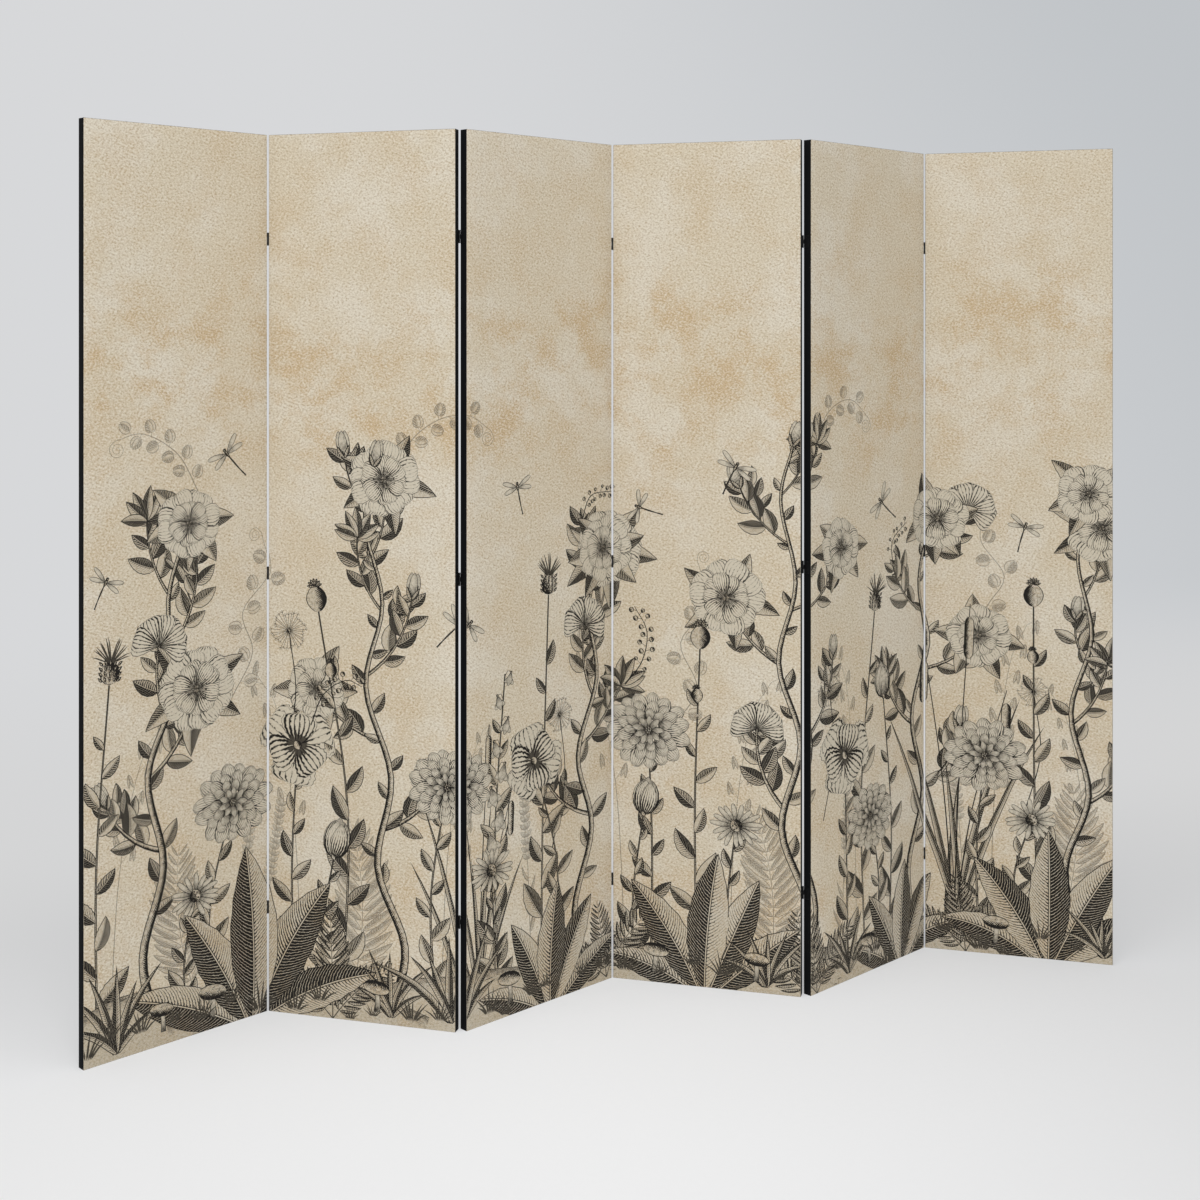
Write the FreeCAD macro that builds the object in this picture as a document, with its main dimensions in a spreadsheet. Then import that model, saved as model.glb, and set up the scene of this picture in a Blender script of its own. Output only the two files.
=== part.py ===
"""A folding room divider: six narrow canvas panels joined by three small butt hinges at each fold.

Each panel is modelled in a frame of its own: x runs across it from its left edge, as seen from the printed
side, y runs from the printed face (0) to the back, and z runs up from the floor. The panels are then set up
in a zigzag along X, with the printed faces towards -Y and the middle of the footprint at the origin.
"""

import FreeCAD, Part
import math
import os
import Sketcher

V = FreeCAD.Vector
X_AXIS, Y_AXIS, Z_AXIS = V(1, 0, 0), V(0, 1, 0), V(0, 0, 1)

PANEL_COUNT = 6
RAIL_COUNT = 4
HINGES_PER_FOLD = 3

# Every length is in millimetres, and every angle in degrees.
SIZES = [
    ("panel_width", 385.0, "one panel, over its canvas"),
    ("panel_height", 1700.0, "one panel, over its canvas"),
    ("panel_depth", 18.0, "printed face to the back of the turned-over canvas"),
    ("fold_angle", 30.0, "how far each panel stands out of the line of the screen"),
    ("canvas_thickness", 0.5, "the printed canvas"),
    ("canvas_turnover", 24.0, "canvas folded on to the back of the frame"),
    ("cloth_thickness", 0.4, "the plain cloth that covers the back"),
    ("cloth_margin", 5.0, "edge of the panel to the edge of the back cloth"),
    ("lath_width", 38.0, "a stile or a rail, across its face"),
    ("dowel_radius", 4.0, "the glued dowels of the frame"),
    ("dowel_length", 30.0, "half in the stile and half in the rail"),
    ("dowel_spacing", 18.0, "between the two dowels of a joint"),
    ("dowel_chamfer", 1.0, "on both ends of a dowel"),
    ("dowel_glue_gap", 0.1, "all round a dowel in its hole"),
    ("dowel_end_gap", 0.5, "past each end of a dowel"),
    ("hinge_inset", 202.0, "top or bottom of the panel to the middle of the outer hinges"),
    ("leaf_height", 25.0, "a hinge leaf, along the pin"),
    ("leaf_depth", 14.0, "pin to the far edge of the leaf"),
    ("leaf_thickness", 0.8, "sheet steel"),
    ("leaf_corner", 2.0, "rounding of the two far corners of a leaf"),
    ("knuckle_radius", 1.5, "outside of the rolled knuckle"),
    ("knuckle_length", 8.0, "each of the two outer knuckles"),
    ("knuckle_end_gap", 0.15, "between neighbouring knuckles"),
    ("knuckle_side_gap", 0.3, "knuckle to the notch of the other leaf"),
    ("pin_radius", 0.8, "hinge pin"),
    ("pin_chamfer", 0.3, "on both ends of the pin"),
    ("pin_grip_gap", 0.02, "pin in the leaf that holds it"),
    ("pin_running_gap", 0.05, "pin in the leaf that turns"),
    ("pivot_stand_off", 0.7, "pin in front of the face that it folds on"),
    ("screw_spacing", 14.0, "between the two screws of a leaf"),
    ("screw_setback", 8.5, "pin to the line of the screws"),
    ("screw_head_radius", 2.2, "countersunk head"),
    ("screw_shank_radius", 1.1, "and its pilot hole"),
    ("screw_length", 12.0, "open face of the leaf to the point"),
    ("screw_point", 2.5, "the tapered end"),
    ("screw_head_gap", 0.05, "head in its countersink"),
    ("screw_hole_gap", 0.3, "shank in the canvas, and past the point"),
    ("screw_recess_length", 2.6, "each arm of the cross recess"),
    ("screw_recess_width", 0.5, "each arm of the cross recess"),
    ("screw_recess_depth", 0.5, "the cross recess"),
    ("staple_crown", 10.0, "a staple, across its back"),
    ("staple_leg", 8.0, "below the crown"),
    ("staple_wire", 0.5, "square wire"),
    ("staple_proud", 0.15, "crown above the back cloth"),
    ("staple_inset", 12.0, "edge of the panel to the line of staples"),
    ("staple_pitch", 84.0, "most that staples stand apart"),
]

doc = FreeCAD.newDocument("RoomDivider")


def make_sheet():
    """The spreadsheet that holds the driving dimensions, one alias to a row."""
    sheet = doc.addObject("Spreadsheet::Sheet", "Sizes")
    for row, (alias, value, note) in enumerate(SIZES, start=1):
        sheet.set(f"A{row}", alias)
        sheet.set(f"B{row}", str(value))
        sheet.set(f"C{row}", note)
        sheet.setAlias(f"B{row}", alias)
    doc.recompute()
    return sheet


sheet = make_sheet()


def size(alias):
    """A driving dimension, read from the sheet."""
    return float(sheet.get(alias))


def cells(formula):
    """A formula in plain aliases, written for setExpression: each alias becomes a cell of the sheet."""
    return " ".join("Sizes." + word if sheet.getCellFromAlias(word) else word for word in formula.split())


# Primitives and booleans bound to the sheet


def bind(thing, **formulas):
    """Binds the named properties of a document object to formulas in aliases. at_x is its place along X."""
    for name, formula in formulas.items():
        target = name.replace("at_", "Placement.Base.") if name.startswith("at_") else name
        thing.setExpression(target, cells(formula))
    return thing


def box(name, length, width, height, **place):
    """A box of those sizes along X, Y and Z."""
    return bind(doc.addObject("Part::Box", name), Length=length, Width=width, Height=height, **place)


def cylinder(name, radius, height, along=Z_AXIS, **place):
    """A cylinder along an axis."""
    rod = doc.addObject("Part::Cylinder", name)
    rod.Placement = FreeCAD.Placement(V(), FreeCAD.Rotation(Z_AXIS, along))
    return bind(rod, Radius=radius, Height=height, **place)


def cone(name, start_radius, end_radius, height, along=Z_AXIS, **place):
    """A cone or a tapered plug along an axis."""
    taper = doc.addObject("Part::Cone", name)
    taper.Placement = FreeCAD.Placement(V(), FreeCAD.Rotation(Z_AXIS, along))
    return bind(taper, Radius1=start_radius, Radius2=end_radius, Height=height, **place)


def fuse(name, *shapes):
    """One solid out of several."""
    whole = doc.addObject("Part::MultiFuse", name)
    whole.Shapes = list(shapes)
    whole.Refine = True
    return whole


def cut(name, base, *tools):
    """The base without the tools, which must take something away from it."""
    cutter = tools[0]
    if len(tools) > 1:
        cutter = doc.addObject("Part::Compound", name + "_cutters")
        cutter.Links = list(tools)
    rest = doc.addObject("Part::Cut", name)
    rest.Base, rest.Tool = base, cutter
    doc.recompute()
    if not rest.Shape.Volume < base.Shape.Volume:
        raise ValueError(f"{name}: the cut takes nothing away")
    return rest


# Bodies drawn in sketches


def sketch(body, name, plane_role, offset="0"):
    """A sketch on one of the body's own origin planes, moved along the plane's normal."""
    drawing = body.newObject("Sketcher::SketchObject", name)
    plane = next(f for f in body.Origin.OriginFeatures if f.Role == plane_role)
    drawing.AttachmentSupport = [(plane, "")]
    drawing.MapMode = "FlatFace"
    drawing.setExpression("AttachmentOffset.Base.z", cells(offset))
    return drawing


def hold(drawing, kind, first, second, formula):
    """A distance between two points of a sketch, bound to a formula in aliases."""
    distance = float(drawing.evalExpression(cells(formula)))
    index = drawing.addConstraint(Sketcher.Constraint(kind, *first, *second, distance))
    name = f"held_{index}"
    drawing.renameConstraint(index, name)
    drawing.setExpression("Constraints." + name, cells(formula))


SKETCH_ORIGIN = (-1, 1)


def draw_rectangle(drawing, left, low, wide, high):
    """A rectangle, held by its lower left corner and its two sides."""
    x, y, w, h = (float(drawing.evalExpression(cells(f))) for f in (left, low, wide, high))
    corners = [V(x, y), V(x + w, y), V(x + w, y + h), V(x, y + h)]
    sides = [drawing.addGeometry(Part.LineSegment(a, b)) for a, b in zip(corners, corners[1:] + corners[:1])]
    for side, after in zip(sides, sides[1:] + sides[:1]):
        drawing.addConstraint(Sketcher.Constraint("Coincident", side, 2, after, 1))
    for side, kind in zip(sides, ("Horizontal", "Vertical") * 2):
        drawing.addConstraint(Sketcher.Constraint(kind, side))
    hold(drawing, "DistanceX", SKETCH_ORIGIN, (sides[0], 1), left)
    hold(drawing, "DistanceY", SKETCH_ORIGIN, (sides[0], 1), low)
    hold(drawing, "DistanceX", (sides[0], 1), (sides[0], 2), wide)
    hold(drawing, "DistanceY", (sides[1], 1), (sides[1], 2), high)


def draw_circle(drawing, across, up, radius):
    """A circle, held by its centre and its radius."""
    x, y, r = (float(drawing.evalExpression(cells(f))) for f in (across, up, radius))
    ring = drawing.addGeometry(Part.Circle(V(x, y), Z_AXIS, r))
    hold(drawing, "DistanceX", SKETCH_ORIGIN, (ring, 3), across)
    hold(drawing, "DistanceY", SKETCH_ORIGIN, (ring, 3), up)
    index = drawing.addConstraint(Sketcher.Constraint("Radius", ring, r))
    drawing.renameConstraint(index, f"radius_{index}")
    drawing.setExpression(f"Constraints.radius_{index}", cells(radius))


def pad(body, drawing, length):
    """Material from the sketch along the plane's normal."""
    feature = body.newObject("PartDesign::Pad", drawing.Name + "_pad")
    feature.Profile = drawing
    feature.setExpression("Length", cells(length))
    doc.recompute()
    return feature


def dress(body, kind, base, edges, measure, formula):
    """A chamfer or a fillet on some edges of a feature."""
    feature = body.newObject(kind, base.Name + "_edges")
    feature.Base = (base, edges)
    feature.setExpression(measure, cells(formula))
    doc.recompute()
    return feature


def bore_holes(body, drawing, depth, along_normal):
    """Blind holes from the sketch, along the plane's normal or against it."""
    before = body.Shape.Volume
    feature = body.newObject("PartDesign::Pocket", drawing.Name + "_holes")
    feature.Profile = drawing
    feature.Reversed = along_normal
    feature.setExpression("Length", cells(depth))
    doc.recompute()
    if not body.Shape.Volume < before:
        raise ValueError(f"{drawing.Name}: the holes take nothing away")
    return feature


# Places inside a panel, as formulas in aliases

WOOD_DEPTH = "( panel_depth - 2 * canvas_thickness )"
MID_DEPTH = "( panel_depth / 2 )"
WOOD_HEIGHT = "( panel_height - 2 * canvas_thickness )"
INNER_LEFT = "( canvas_thickness + lath_width )"
INNER_RIGHT = "( panel_width - canvas_thickness - lath_width )"
OUTER_RIGHT = "( panel_width - canvas_thickness )"
RAIL_LENGTH = "( panel_width - 2 * canvas_thickness - 2 * lath_width )"
FIRST_RAIL = "( canvas_thickness + lath_width / 2 )"
RAIL_STEP = f"( ( panel_height - 2 * canvas_thickness - lath_width ) / {RAIL_COUNT - 1} )"
DOWEL_HOLE = "( dowel_radius + dowel_glue_gap )"
DOWEL_DEPTH = "( dowel_length / 2 + dowel_end_gap )"
PILOT_DEPTH = "( screw_length - leaf_thickness - canvas_thickness + screw_hole_gap )"
HINGE_STEP = f"( ( panel_height - 2 * hinge_inset ) / {HINGES_PER_FOLD - 1} )"
FRONT_SCREW_LINE = "( screw_setback - pivot_stand_off )"
BACK_SCREW_LINE = "( panel_depth + pivot_stand_off - screw_setback )"
BACK_FACE = "( panel_depth + cloth_thickness )"


def value(formula):
    """The number that a formula in aliases comes to."""
    return float(sheet.evalExpression(cells(formula)))


def folds_on_the_front(fold):
    """The first fold, and every other one, closes with the printed faces together."""
    return fold % 2 == 1


def folds_of(panel):
    """(side, fold) for each edge of the panel that has hinges."""
    found = [("left", panel - 1)] if panel > 1 else []
    return found + ([("right", panel)] if panel < PANEL_COUNT else [])


def screw_line(fold):
    """How deep the screws of a fold stand in the panel."""
    return FRONT_SCREW_LINE if folds_on_the_front(fold) else BACK_SCREW_LINE


def screw_heights():
    """Formulas for the heights of the screws along an edge."""
    return [
        f"hinge_inset + {hinge} * {HINGE_STEP} {sign} screw_spacing / 2"
        for hinge in range(HINGES_PER_FOLD)
        for sign in "-+"
    ]


def rail_heights():
    """Formulas for the middle heights of the rails."""
    return [f"{FIRST_RAIL} + {rail} * {RAIL_STEP}" for rail in range(RAIL_COUNT)]


def dowel_heights():
    """Formulas for the heights of the dowels along a stile."""
    return [f"{height} {sign} dowel_spacing / 2" for height in rail_heights() for sign in "-+"]


# The wooden frame


def make_stile(panel, side):
    """An upright lath, with blind holes for the dowels and pilot holes for the hinge screws."""
    body = doc.addObject("PartDesign::Body", f"panel_{panel}_{side}_stile")
    section = sketch(body, body.Name + "_section", "XY_Plane", "canvas_thickness")
    draw_rectangle(section, "canvas_thickness" if side == "left" else INNER_RIGHT, "canvas_thickness",
                   "lath_width", WOOD_DEPTH)
    pad(body, section, WOOD_HEIGHT)
    dowels = sketch(body, body.Name + "_dowels", "YZ_Plane", INNER_LEFT if side == "left" else INNER_RIGHT)
    for height in dowel_heights():
        draw_circle(dowels, MID_DEPTH, height, DOWEL_HOLE)
    bore_holes(body, dowels, DOWEL_DEPTH, along_normal=side == "right")
    for edge, fold in folds_of(panel):
        if edge == side:
            pilots = sketch(body, body.Name + "_pilots", "YZ_Plane",
                            "canvas_thickness" if side == "left" else OUTER_RIGHT)
            for height in screw_heights():
                draw_circle(pilots, screw_line(fold), height, "screw_shank_radius")
            bore_holes(body, pilots, PILOT_DEPTH, along_normal=side == "left")
    return body


def make_rail_pattern():
    """A cross lath at the height 0, with two dowel holes in each end."""
    body = doc.addObject("PartDesign::Body", "rail_pattern")
    section = sketch(body, "rail_section", "YZ_Plane", INNER_LEFT)
    draw_rectangle(section, "canvas_thickness", "0 - lath_width / 2", WOOD_DEPTH, "lath_width")
    pad(body, section, RAIL_LENGTH)
    for end, place in (("left", INNER_LEFT), ("right", INNER_RIGHT)):
        holes = sketch(body, f"rail_{end}_end", "YZ_Plane", place)
        for sign in "-+":
            draw_circle(holes, MID_DEPTH, f"0 {sign} dowel_spacing / 2", DOWEL_HOLE)
        bore_holes(body, holes, DOWEL_DEPTH, along_normal=end == "left")
    return body


def make_rod_pattern(name, plane_role, radius, length, chamfer):
    """A round rod across a plane, with its middle at the origin and both its ends broken."""
    body = doc.addObject("PartDesign::Body", name)
    section = sketch(body, name + "_section", plane_role, f"0 - {length} / 2")
    draw_circle(section, "0", "0", radius)
    rod = pad(body, section, length)
    rims = [f"Edge{n}" for n, edge in enumerate(rod.Shape.Edges, start=1)
            if isinstance(edge.Curve, Part.Circle)]
    dress(body, "PartDesign::Chamfer", rod, rims, "Size", chamfer)
    return body


# The coverings


def make_canvas(panel):
    """The printed canvas: a sheet over the front, wrapped round the edges and turned over on to the back."""
    name = f"panel_{panel}_canvas"
    outside = box(name + "_outside", "panel_width", "panel_depth", "panel_height")
    frame_space = box(name + "_frame_space", "panel_width - 2 * canvas_thickness", WOOD_DEPTH, WOOD_HEIGHT,
                      at_x="canvas_thickness", at_y="canvas_thickness", at_z="canvas_thickness")
    window = box(name + "_window", "panel_width - 2 * canvas_turnover", "panel_depth",
                 "panel_height - 2 * canvas_turnover",
                 at_x="canvas_turnover", at_y=MID_DEPTH, at_z="canvas_turnover")
    holes = []
    for edge, fold in folds_of(panel):
        for number, height in enumerate(screw_heights(), start=1):
            holes.append(cylinder(f"{name}_{edge}_hole_{number}", "screw_shank_radius + screw_hole_gap",
                                  "3 * canvas_thickness", X_AXIS,
                                  at_x="0 - canvas_thickness" if edge == "left"
                                  else "panel_width - 2 * canvas_thickness",
                                  at_y=screw_line(fold), at_z=height))
    return cut(name, outside, frame_space, window, *holes)


def make_back_cloth(panel):
    """The plain sheet that covers the back of the frame and the turned-over canvas."""
    body = doc.addObject("PartDesign::Body", f"panel_{panel}_back_cloth")
    outline = sketch(body, body.Name + "_outline", "XZ_Plane", f"0 - {BACK_FACE}")
    draw_rectangle(outline, "cloth_margin", "cloth_margin", "panel_width - 2 * cloth_margin",
                   "panel_height - 2 * cloth_margin")
    pad(body, outline, "cloth_thickness")
    return body


def make_staple_pattern():
    """A staple with its crown along X, its middle at the origin and its legs towards -Y."""
    crown = box("staple_crown_bar", "staple_crown", "staple_wire", "staple_wire",
                at_x="0 - staple_crown / 2", at_y="0 - staple_wire", at_z="0 - staple_wire / 2")
    ends = (("left", "0 - staple_crown / 2"), ("right", "staple_crown / 2 - staple_wire"))
    legs = [box(f"staple_{side}_leg", "staple_wire", "staple_leg", "staple_wire",
                at_x=place, at_y="0 - staple_leg", at_z="0 - staple_wire / 2")
            for side, place in ends]
    return fuse("staple_pattern", crown, *legs)


# The hinges, in a frame with the pin along Z through the origin. The leaf lies towards +Y, and the
# edge of the panel that it is screwed to is the plane X = knuckle_radius.

NOTCH_DEPTH = "( knuckle_radius + knuckle_side_gap )"
LEAF_OPEN_FACE = "( knuckle_radius - leaf_thickness )"
MIDDLE_KNUCKLE = "( leaf_height - 2 * knuckle_length - 2 * knuckle_end_gap )"


def make_leaf_pattern(name, knuckles, bore_gap):
    """A plate with rounded corners, its knuckles (length and lower end of each) and two countersinks."""
    body = doc.addObject("PartDesign::Body", name + "_plate")
    outline = sketch(body, name + "_outline", "YZ_Plane", LEAF_OPEN_FACE)
    draw_rectangle(outline, NOTCH_DEPTH, "0 - leaf_height / 2", f"leaf_depth - {NOTCH_DEPTH}", "leaf_height")
    plate = pad(body, outline, "leaf_thickness")
    far = plate.Shape.BoundBox.YMax - size("leaf_corner")
    corners = [f"Edge{n}" for n, edge in enumerate(plate.Shape.Edges, start=1)
               if edge.CenterOfMass.y > far and edge.BoundBox.XLength > edge.BoundBox.ZLength]
    dress(body, "PartDesign::Fillet", plate, corners, "Radius", "leaf_corner")
    parts = [body]
    for number, (length, low) in enumerate(knuckles, start=1):
        parts.append(cylinder(f"{name}_knuckle_{number}", "knuckle_radius", length, at_z=low))
        parts.append(box(f"{name}_neck_{number}", "leaf_thickness", NOTCH_DEPTH, length,
                         at_x=LEAF_OPEN_FACE, at_z=low))
    holes = [cylinder(name + "_bore", f"pin_radius + {bore_gap}", "2 * leaf_height", at_z="0 - leaf_height")]
    for number, sign in enumerate("-+", start=1):
        holes.append(cone(f"{name}_countersink_{number}", "screw_head_radius + screw_head_gap",
                          "screw_shank_radius + screw_head_gap", "leaf_thickness", X_AXIS,
                          at_x=LEAF_OPEN_FACE, at_y="screw_setback", at_z=f"0 {sign} screw_spacing / 2"))
    return cut(name, fuse(name + "_blank", *parts), *holes)


def make_screw_pattern():
    """A countersunk screw along +X whose head is flush with the open face of the leaf."""
    head = cone("screw_head", "screw_head_radius", "screw_shank_radius", "leaf_thickness", X_AXIS,
                at_x=LEAF_OPEN_FACE)
    shank = cylinder("screw_shank", "screw_shank_radius", "screw_length - leaf_thickness - screw_point",
                     X_AXIS, at_x="knuckle_radius")
    point = cone("screw_taper", "screw_shank_radius", "screw_shank_radius / 8", "screw_point", X_AXIS,
                 at_x=f"{LEAF_OPEN_FACE} + screw_length - screw_point")
    arms = (("flat", "screw_recess_length", "screw_recess_width"),
            ("upright", "screw_recess_width", "screw_recess_length"))
    cross = [box(f"screw_{arm}_arm", "2 * screw_recess_depth", wide, tall,
                 at_x=f"{LEAF_OPEN_FACE} - screw_recess_depth", at_y=f"0 - {wide} / 2",
                 at_z=f"0 - {tall} / 2")
             for arm, wide, tall in arms]
    return cut("screw_pattern", fuse("screw_blank", head, shank, point), *cross)


# Groups of like pieces, each a set of separate solids in one node


def group(name, pattern, places):
    """Copies of a pattern at those places, in the frame of the panel."""
    copies = []
    for place in places:
        copy = pattern.Shape.copy()
        copy.Placement = place.multiply(copy.Placement)
        copies.append(copy)
    node = doc.addObject("Part::Feature", name)
    node.Shape = Part.makeCompound(copies)
    return node


def at(x, y, z, turn=None):
    """A place in the frame of the panel."""
    return FreeCAD.Placement(V(x, y, z), turn or FreeCAD.Rotation())


def rail_places():
    return [at(0, 0, value(height)) for height in rail_heights()]


def dowel_places():
    return [at(value(x), value(MID_DEPTH), value(height)) for x in (INNER_LEFT, INNER_RIGHT)
            for height in dowel_heights()]


def steps(low, high):
    """Evenly spaced places from low to high, no further apart than the pitch of the staples."""
    count = max(1, math.ceil((high - low) / size("staple_pitch")))
    return [low + (high - low) * number / count for number in range(count + 1)]


def staple_places():
    """Staples all round the back cloth, with their crowns along the edge and clear of the dowels."""
    inset, crown = size("staple_inset"), size("staple_crown")
    past_dowels = value(INNER_LEFT) + size("dowel_length") / 2 + crown
    wide, high = size("panel_width"), size("panel_height")
    top = value(BACK_FACE) + size("staple_proud")
    upright = FreeCAD.Rotation(Y_AXIS, 90)
    along_stiles = [at(x, top, z, upright) for x in (inset, wide - inset)
                    for z in steps(inset + crown, high - inset - crown)]
    along_rails = [at(x, top, z) for z in (inset, high - inset)
                   for x in steps(past_dowels, wide - past_dowels)]
    return along_stiles + along_rails


def pivot(side, fold):
    """Where the pin of a fold stands in the frame of a panel, seen from above."""
    beside = size("knuckle_radius")
    x = -beside if side == "left" else size("panel_width") + beside
    stand_off = size("pivot_stand_off")
    return V(x, -stand_off if folds_on_the_front(fold) else size("panel_depth") + stand_off, 0)


def hinge_turn(side, fold):
    """How a leaf drawn for the left edge and a fold on the front turns for this edge and fold."""
    to_side = FreeCAD.Rotation(Y_AXIS, 0 if side == "left" else 180)
    return FreeCAD.Rotation(X_AXIS, 0 if folds_on_the_front(fold) else 180).multiply(to_side)


def hinge_places(side, fold):
    heights = [size("hinge_inset") + number * value(HINGE_STEP) for number in range(HINGES_PER_FOLD)]
    return [FreeCAD.Placement(pivot(side, fold) + V(0, 0, z), hinge_turn(side, fold)) for z in heights]


def screw_places(side, fold):
    offsets = [(size("screw_setback"), sign * size("screw_spacing") / 2) for sign in (-1, 1)]
    return [place.multiply(at(0, y, z)) for place in hinge_places(side, fold) for y, z in offsets]


def make_leaves(panel, holding_leaf, turning_leaf):
    """The leaves on both edges of a panel: one on a right edge holds the pin, one on a left edge turns."""
    found = []
    for side, fold in folds_of(panel):
        pattern = holding_leaf if side == "right" else turning_leaf
        found += group("leaves", pattern, hinge_places(side, fold)).Shape.Solids
    node = doc.addObject("Part::Feature", f"panel_{panel}_hinge_leaves")
    node.Shape = Part.makeCompound(found)
    return node


# Standing the panels up


def panel_placements():
    """Each panel's placement in the zigzag, and each fold's pin, seen from above, starting from panel 1."""
    turn = size("fold_angle")
    placements, pins = [], []
    corner = V()
    for panel in range(1, PANEL_COUNT + 1):
        rotation = FreeCAD.Rotation(Z_AXIS, turn if folds_on_the_front(panel) else -turn)
        if pins:
            corner = pins[-1] - rotation.multVec(pivot("left", panel - 1))
        placements.append(FreeCAD.Placement(corner, rotation))
        if panel < PANEL_COUNT:
            pins.append(corner + rotation.multVec(pivot("right", panel)))
    return placements, pins


def middle_of(nodes):
    """The middle of the footprint of the nodes as they stand."""
    reach = FreeCAD.BoundBox()
    for node in nodes:
        reach.add(node.Shape.BoundBox)
    return V(reach.Center.x, reach.Center.y, 0)


def make_panels():
    """Every sub-part of every panel, in the panel's own frame, as lists by panel."""
    rail, staple = make_rail_pattern(), make_staple_pattern()
    dowel = make_rod_pattern("dowel_pattern", "YZ_Plane", "dowel_radius", "dowel_length", "dowel_chamfer")
    outer_knuckles = [("knuckle_length", "0 - leaf_height / 2"),
                      ("knuckle_length", "leaf_height / 2 - knuckle_length")]
    holding_leaf = make_leaf_pattern("holding_leaf_pattern", outer_knuckles, "pin_grip_gap")
    turning_leaf = make_leaf_pattern("turning_leaf_pattern", [(MIDDLE_KNUCKLE, f"0 - {MIDDLE_KNUCKLE} / 2")],
                                     "pin_running_gap")
    pin = make_rod_pattern("pin_pattern", "XY_Plane", "pin_radius", "leaf_height", "pin_chamfer")
    screw = make_screw_pattern()
    doc.recompute()
    panels = []
    for panel in range(1, PANEL_COUNT + 1):
        name = f"panel_{panel}_"
        nodes = [make_stile(panel, "left"), make_stile(panel, "right"),
                 group(name + "rails", rail, rail_places()),
                 group(name + "dowels", dowel, dowel_places()),
                 make_canvas(panel), make_back_cloth(panel),
                 group(name + "staples", staple, staple_places()),
                 make_leaves(panel, holding_leaf, turning_leaf)]
        screws = [place for side, fold in folds_of(panel) for place in screw_places(side, fold)]
        nodes.append(group(name + "hinge_screws", screw, screws))
        if panel < PANEL_COUNT:
            nodes.append(group(name + "hinge_pins", pin, hinge_places("right", panel)))
        panels.append(nodes)
    doc.recompute()
    return panels


def check(nodes):
    """Stops if any object of the document failed, or any sub-part has no sound shape."""
    for thing in doc.Objects:
        if "Invalid" in thing.State or "Error" in thing.State:
            raise ValueError(f"{thing.Label} failed: {thing.State}")
    for node in nodes:
        if node.Shape.isNull() or not node.Shape.isValid() or not node.Shape.Solids:
            raise ValueError(f"{node.Label} has no sound shape")


def main():
    panels = make_panels()
    placements, pins = panel_placements()
    for nodes, placement in zip(panels, placements):
        for node in nodes:
            node.Placement = placement
    nodes = [node for panel in panels for node in panel]
    middle = middle_of(nodes)
    for node in nodes:
        node.Placement = FreeCAD.Placement(node.Placement.Base - middle, node.Placement.Rotation)
    doc.recompute()
    check(nodes)
    os.makedirs("parts", exist_ok=True)
    for node in nodes:
        node.Shape.exportStep(f"parts/{node.Label}.step")
    for fold, pin in enumerate(pins, start=1):
        place = pin - middle
        print(f"fold {fold}: pin at x {place.x:.4f}, y {place.y:.4f}")
    for panel, placement in enumerate(placements, start=1):
        corner = placement.Base - middle
        print(f"panel {panel}: corner at x {corner.x:.4f}, y {corner.y:.4f}")
    print(f"{len(nodes)} nodes, {sum(len(node.Shape.Solids) for node in nodes)} solids")


main()
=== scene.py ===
import cmath
import math
import random
from itertools import pairwise
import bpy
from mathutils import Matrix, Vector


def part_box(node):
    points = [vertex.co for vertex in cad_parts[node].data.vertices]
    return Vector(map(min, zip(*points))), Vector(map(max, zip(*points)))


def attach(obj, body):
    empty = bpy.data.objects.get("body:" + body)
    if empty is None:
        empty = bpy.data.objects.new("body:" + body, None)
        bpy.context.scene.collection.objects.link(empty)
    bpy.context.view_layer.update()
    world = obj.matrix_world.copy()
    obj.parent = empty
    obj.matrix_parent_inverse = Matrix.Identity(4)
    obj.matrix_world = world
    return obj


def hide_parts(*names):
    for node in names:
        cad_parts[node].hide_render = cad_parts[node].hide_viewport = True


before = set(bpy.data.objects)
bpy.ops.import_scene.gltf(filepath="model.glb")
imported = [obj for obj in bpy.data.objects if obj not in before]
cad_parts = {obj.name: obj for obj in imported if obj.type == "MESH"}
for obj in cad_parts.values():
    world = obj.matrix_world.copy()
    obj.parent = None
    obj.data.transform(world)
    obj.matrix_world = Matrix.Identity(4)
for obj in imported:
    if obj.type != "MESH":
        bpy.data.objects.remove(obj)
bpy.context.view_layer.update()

from types import SimpleNamespace

import bmesh
import bpy
from bpy.props import FloatProperty, FloatVectorProperty, PointerProperty
from mathutils import Matrix, Vector, noise

bl_info = {
    "name": "Folding screen with an engraved garden",
    "version": (1, 0, 0),
    "blender": (4, 5, 0),
    "location": "3D View > Sidebar > Screen",
    "description": "Dresses the frame of a six-panel folding screen: canvas, print, back cloth and hinges",
    "category": "Object",
}

PANELS = range(1, 7)
FOLD = math.radians(30)       # how far a panel is turned out of the plane of the screen
MM = 0.001                    # the print is laid out in millimetres

CANVAS_STRIPS = 14, 52        # across and up a panel, so that the canvas can give between the laths
CLOTH_CELLS = 46, 200         # across and up, so that the back cloth can
CANVAS_REACH = 0.11, 0.16     # from a lath to where the canvas gives most, across and up
CLOTH_REACH = 0.07, 0.09      # the same for the back cloth
PRESSED_AND_SHADE_REACH = 0.014, 0.014  # from a lath to where the back cloth isn't pressed any more and the painted shade of the bay is full
FRONT_FACING = -0.95          # a face on the front of a panel has a normal whose y is below this
PUCKER = 0.00012              # how far the back cloth rises between two staples
PUCKER_REACH = 0.007          # how far from the line of staples it still does
CRUMPLE = 0.00004             # how uneven the back cloth is on the laths
ON_THE_CUT = 1e-6             # corners this near a cut lie on it
MAP_GAP = 0.005               # the free edge of each half of the map for baking, as a share of the map

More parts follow.
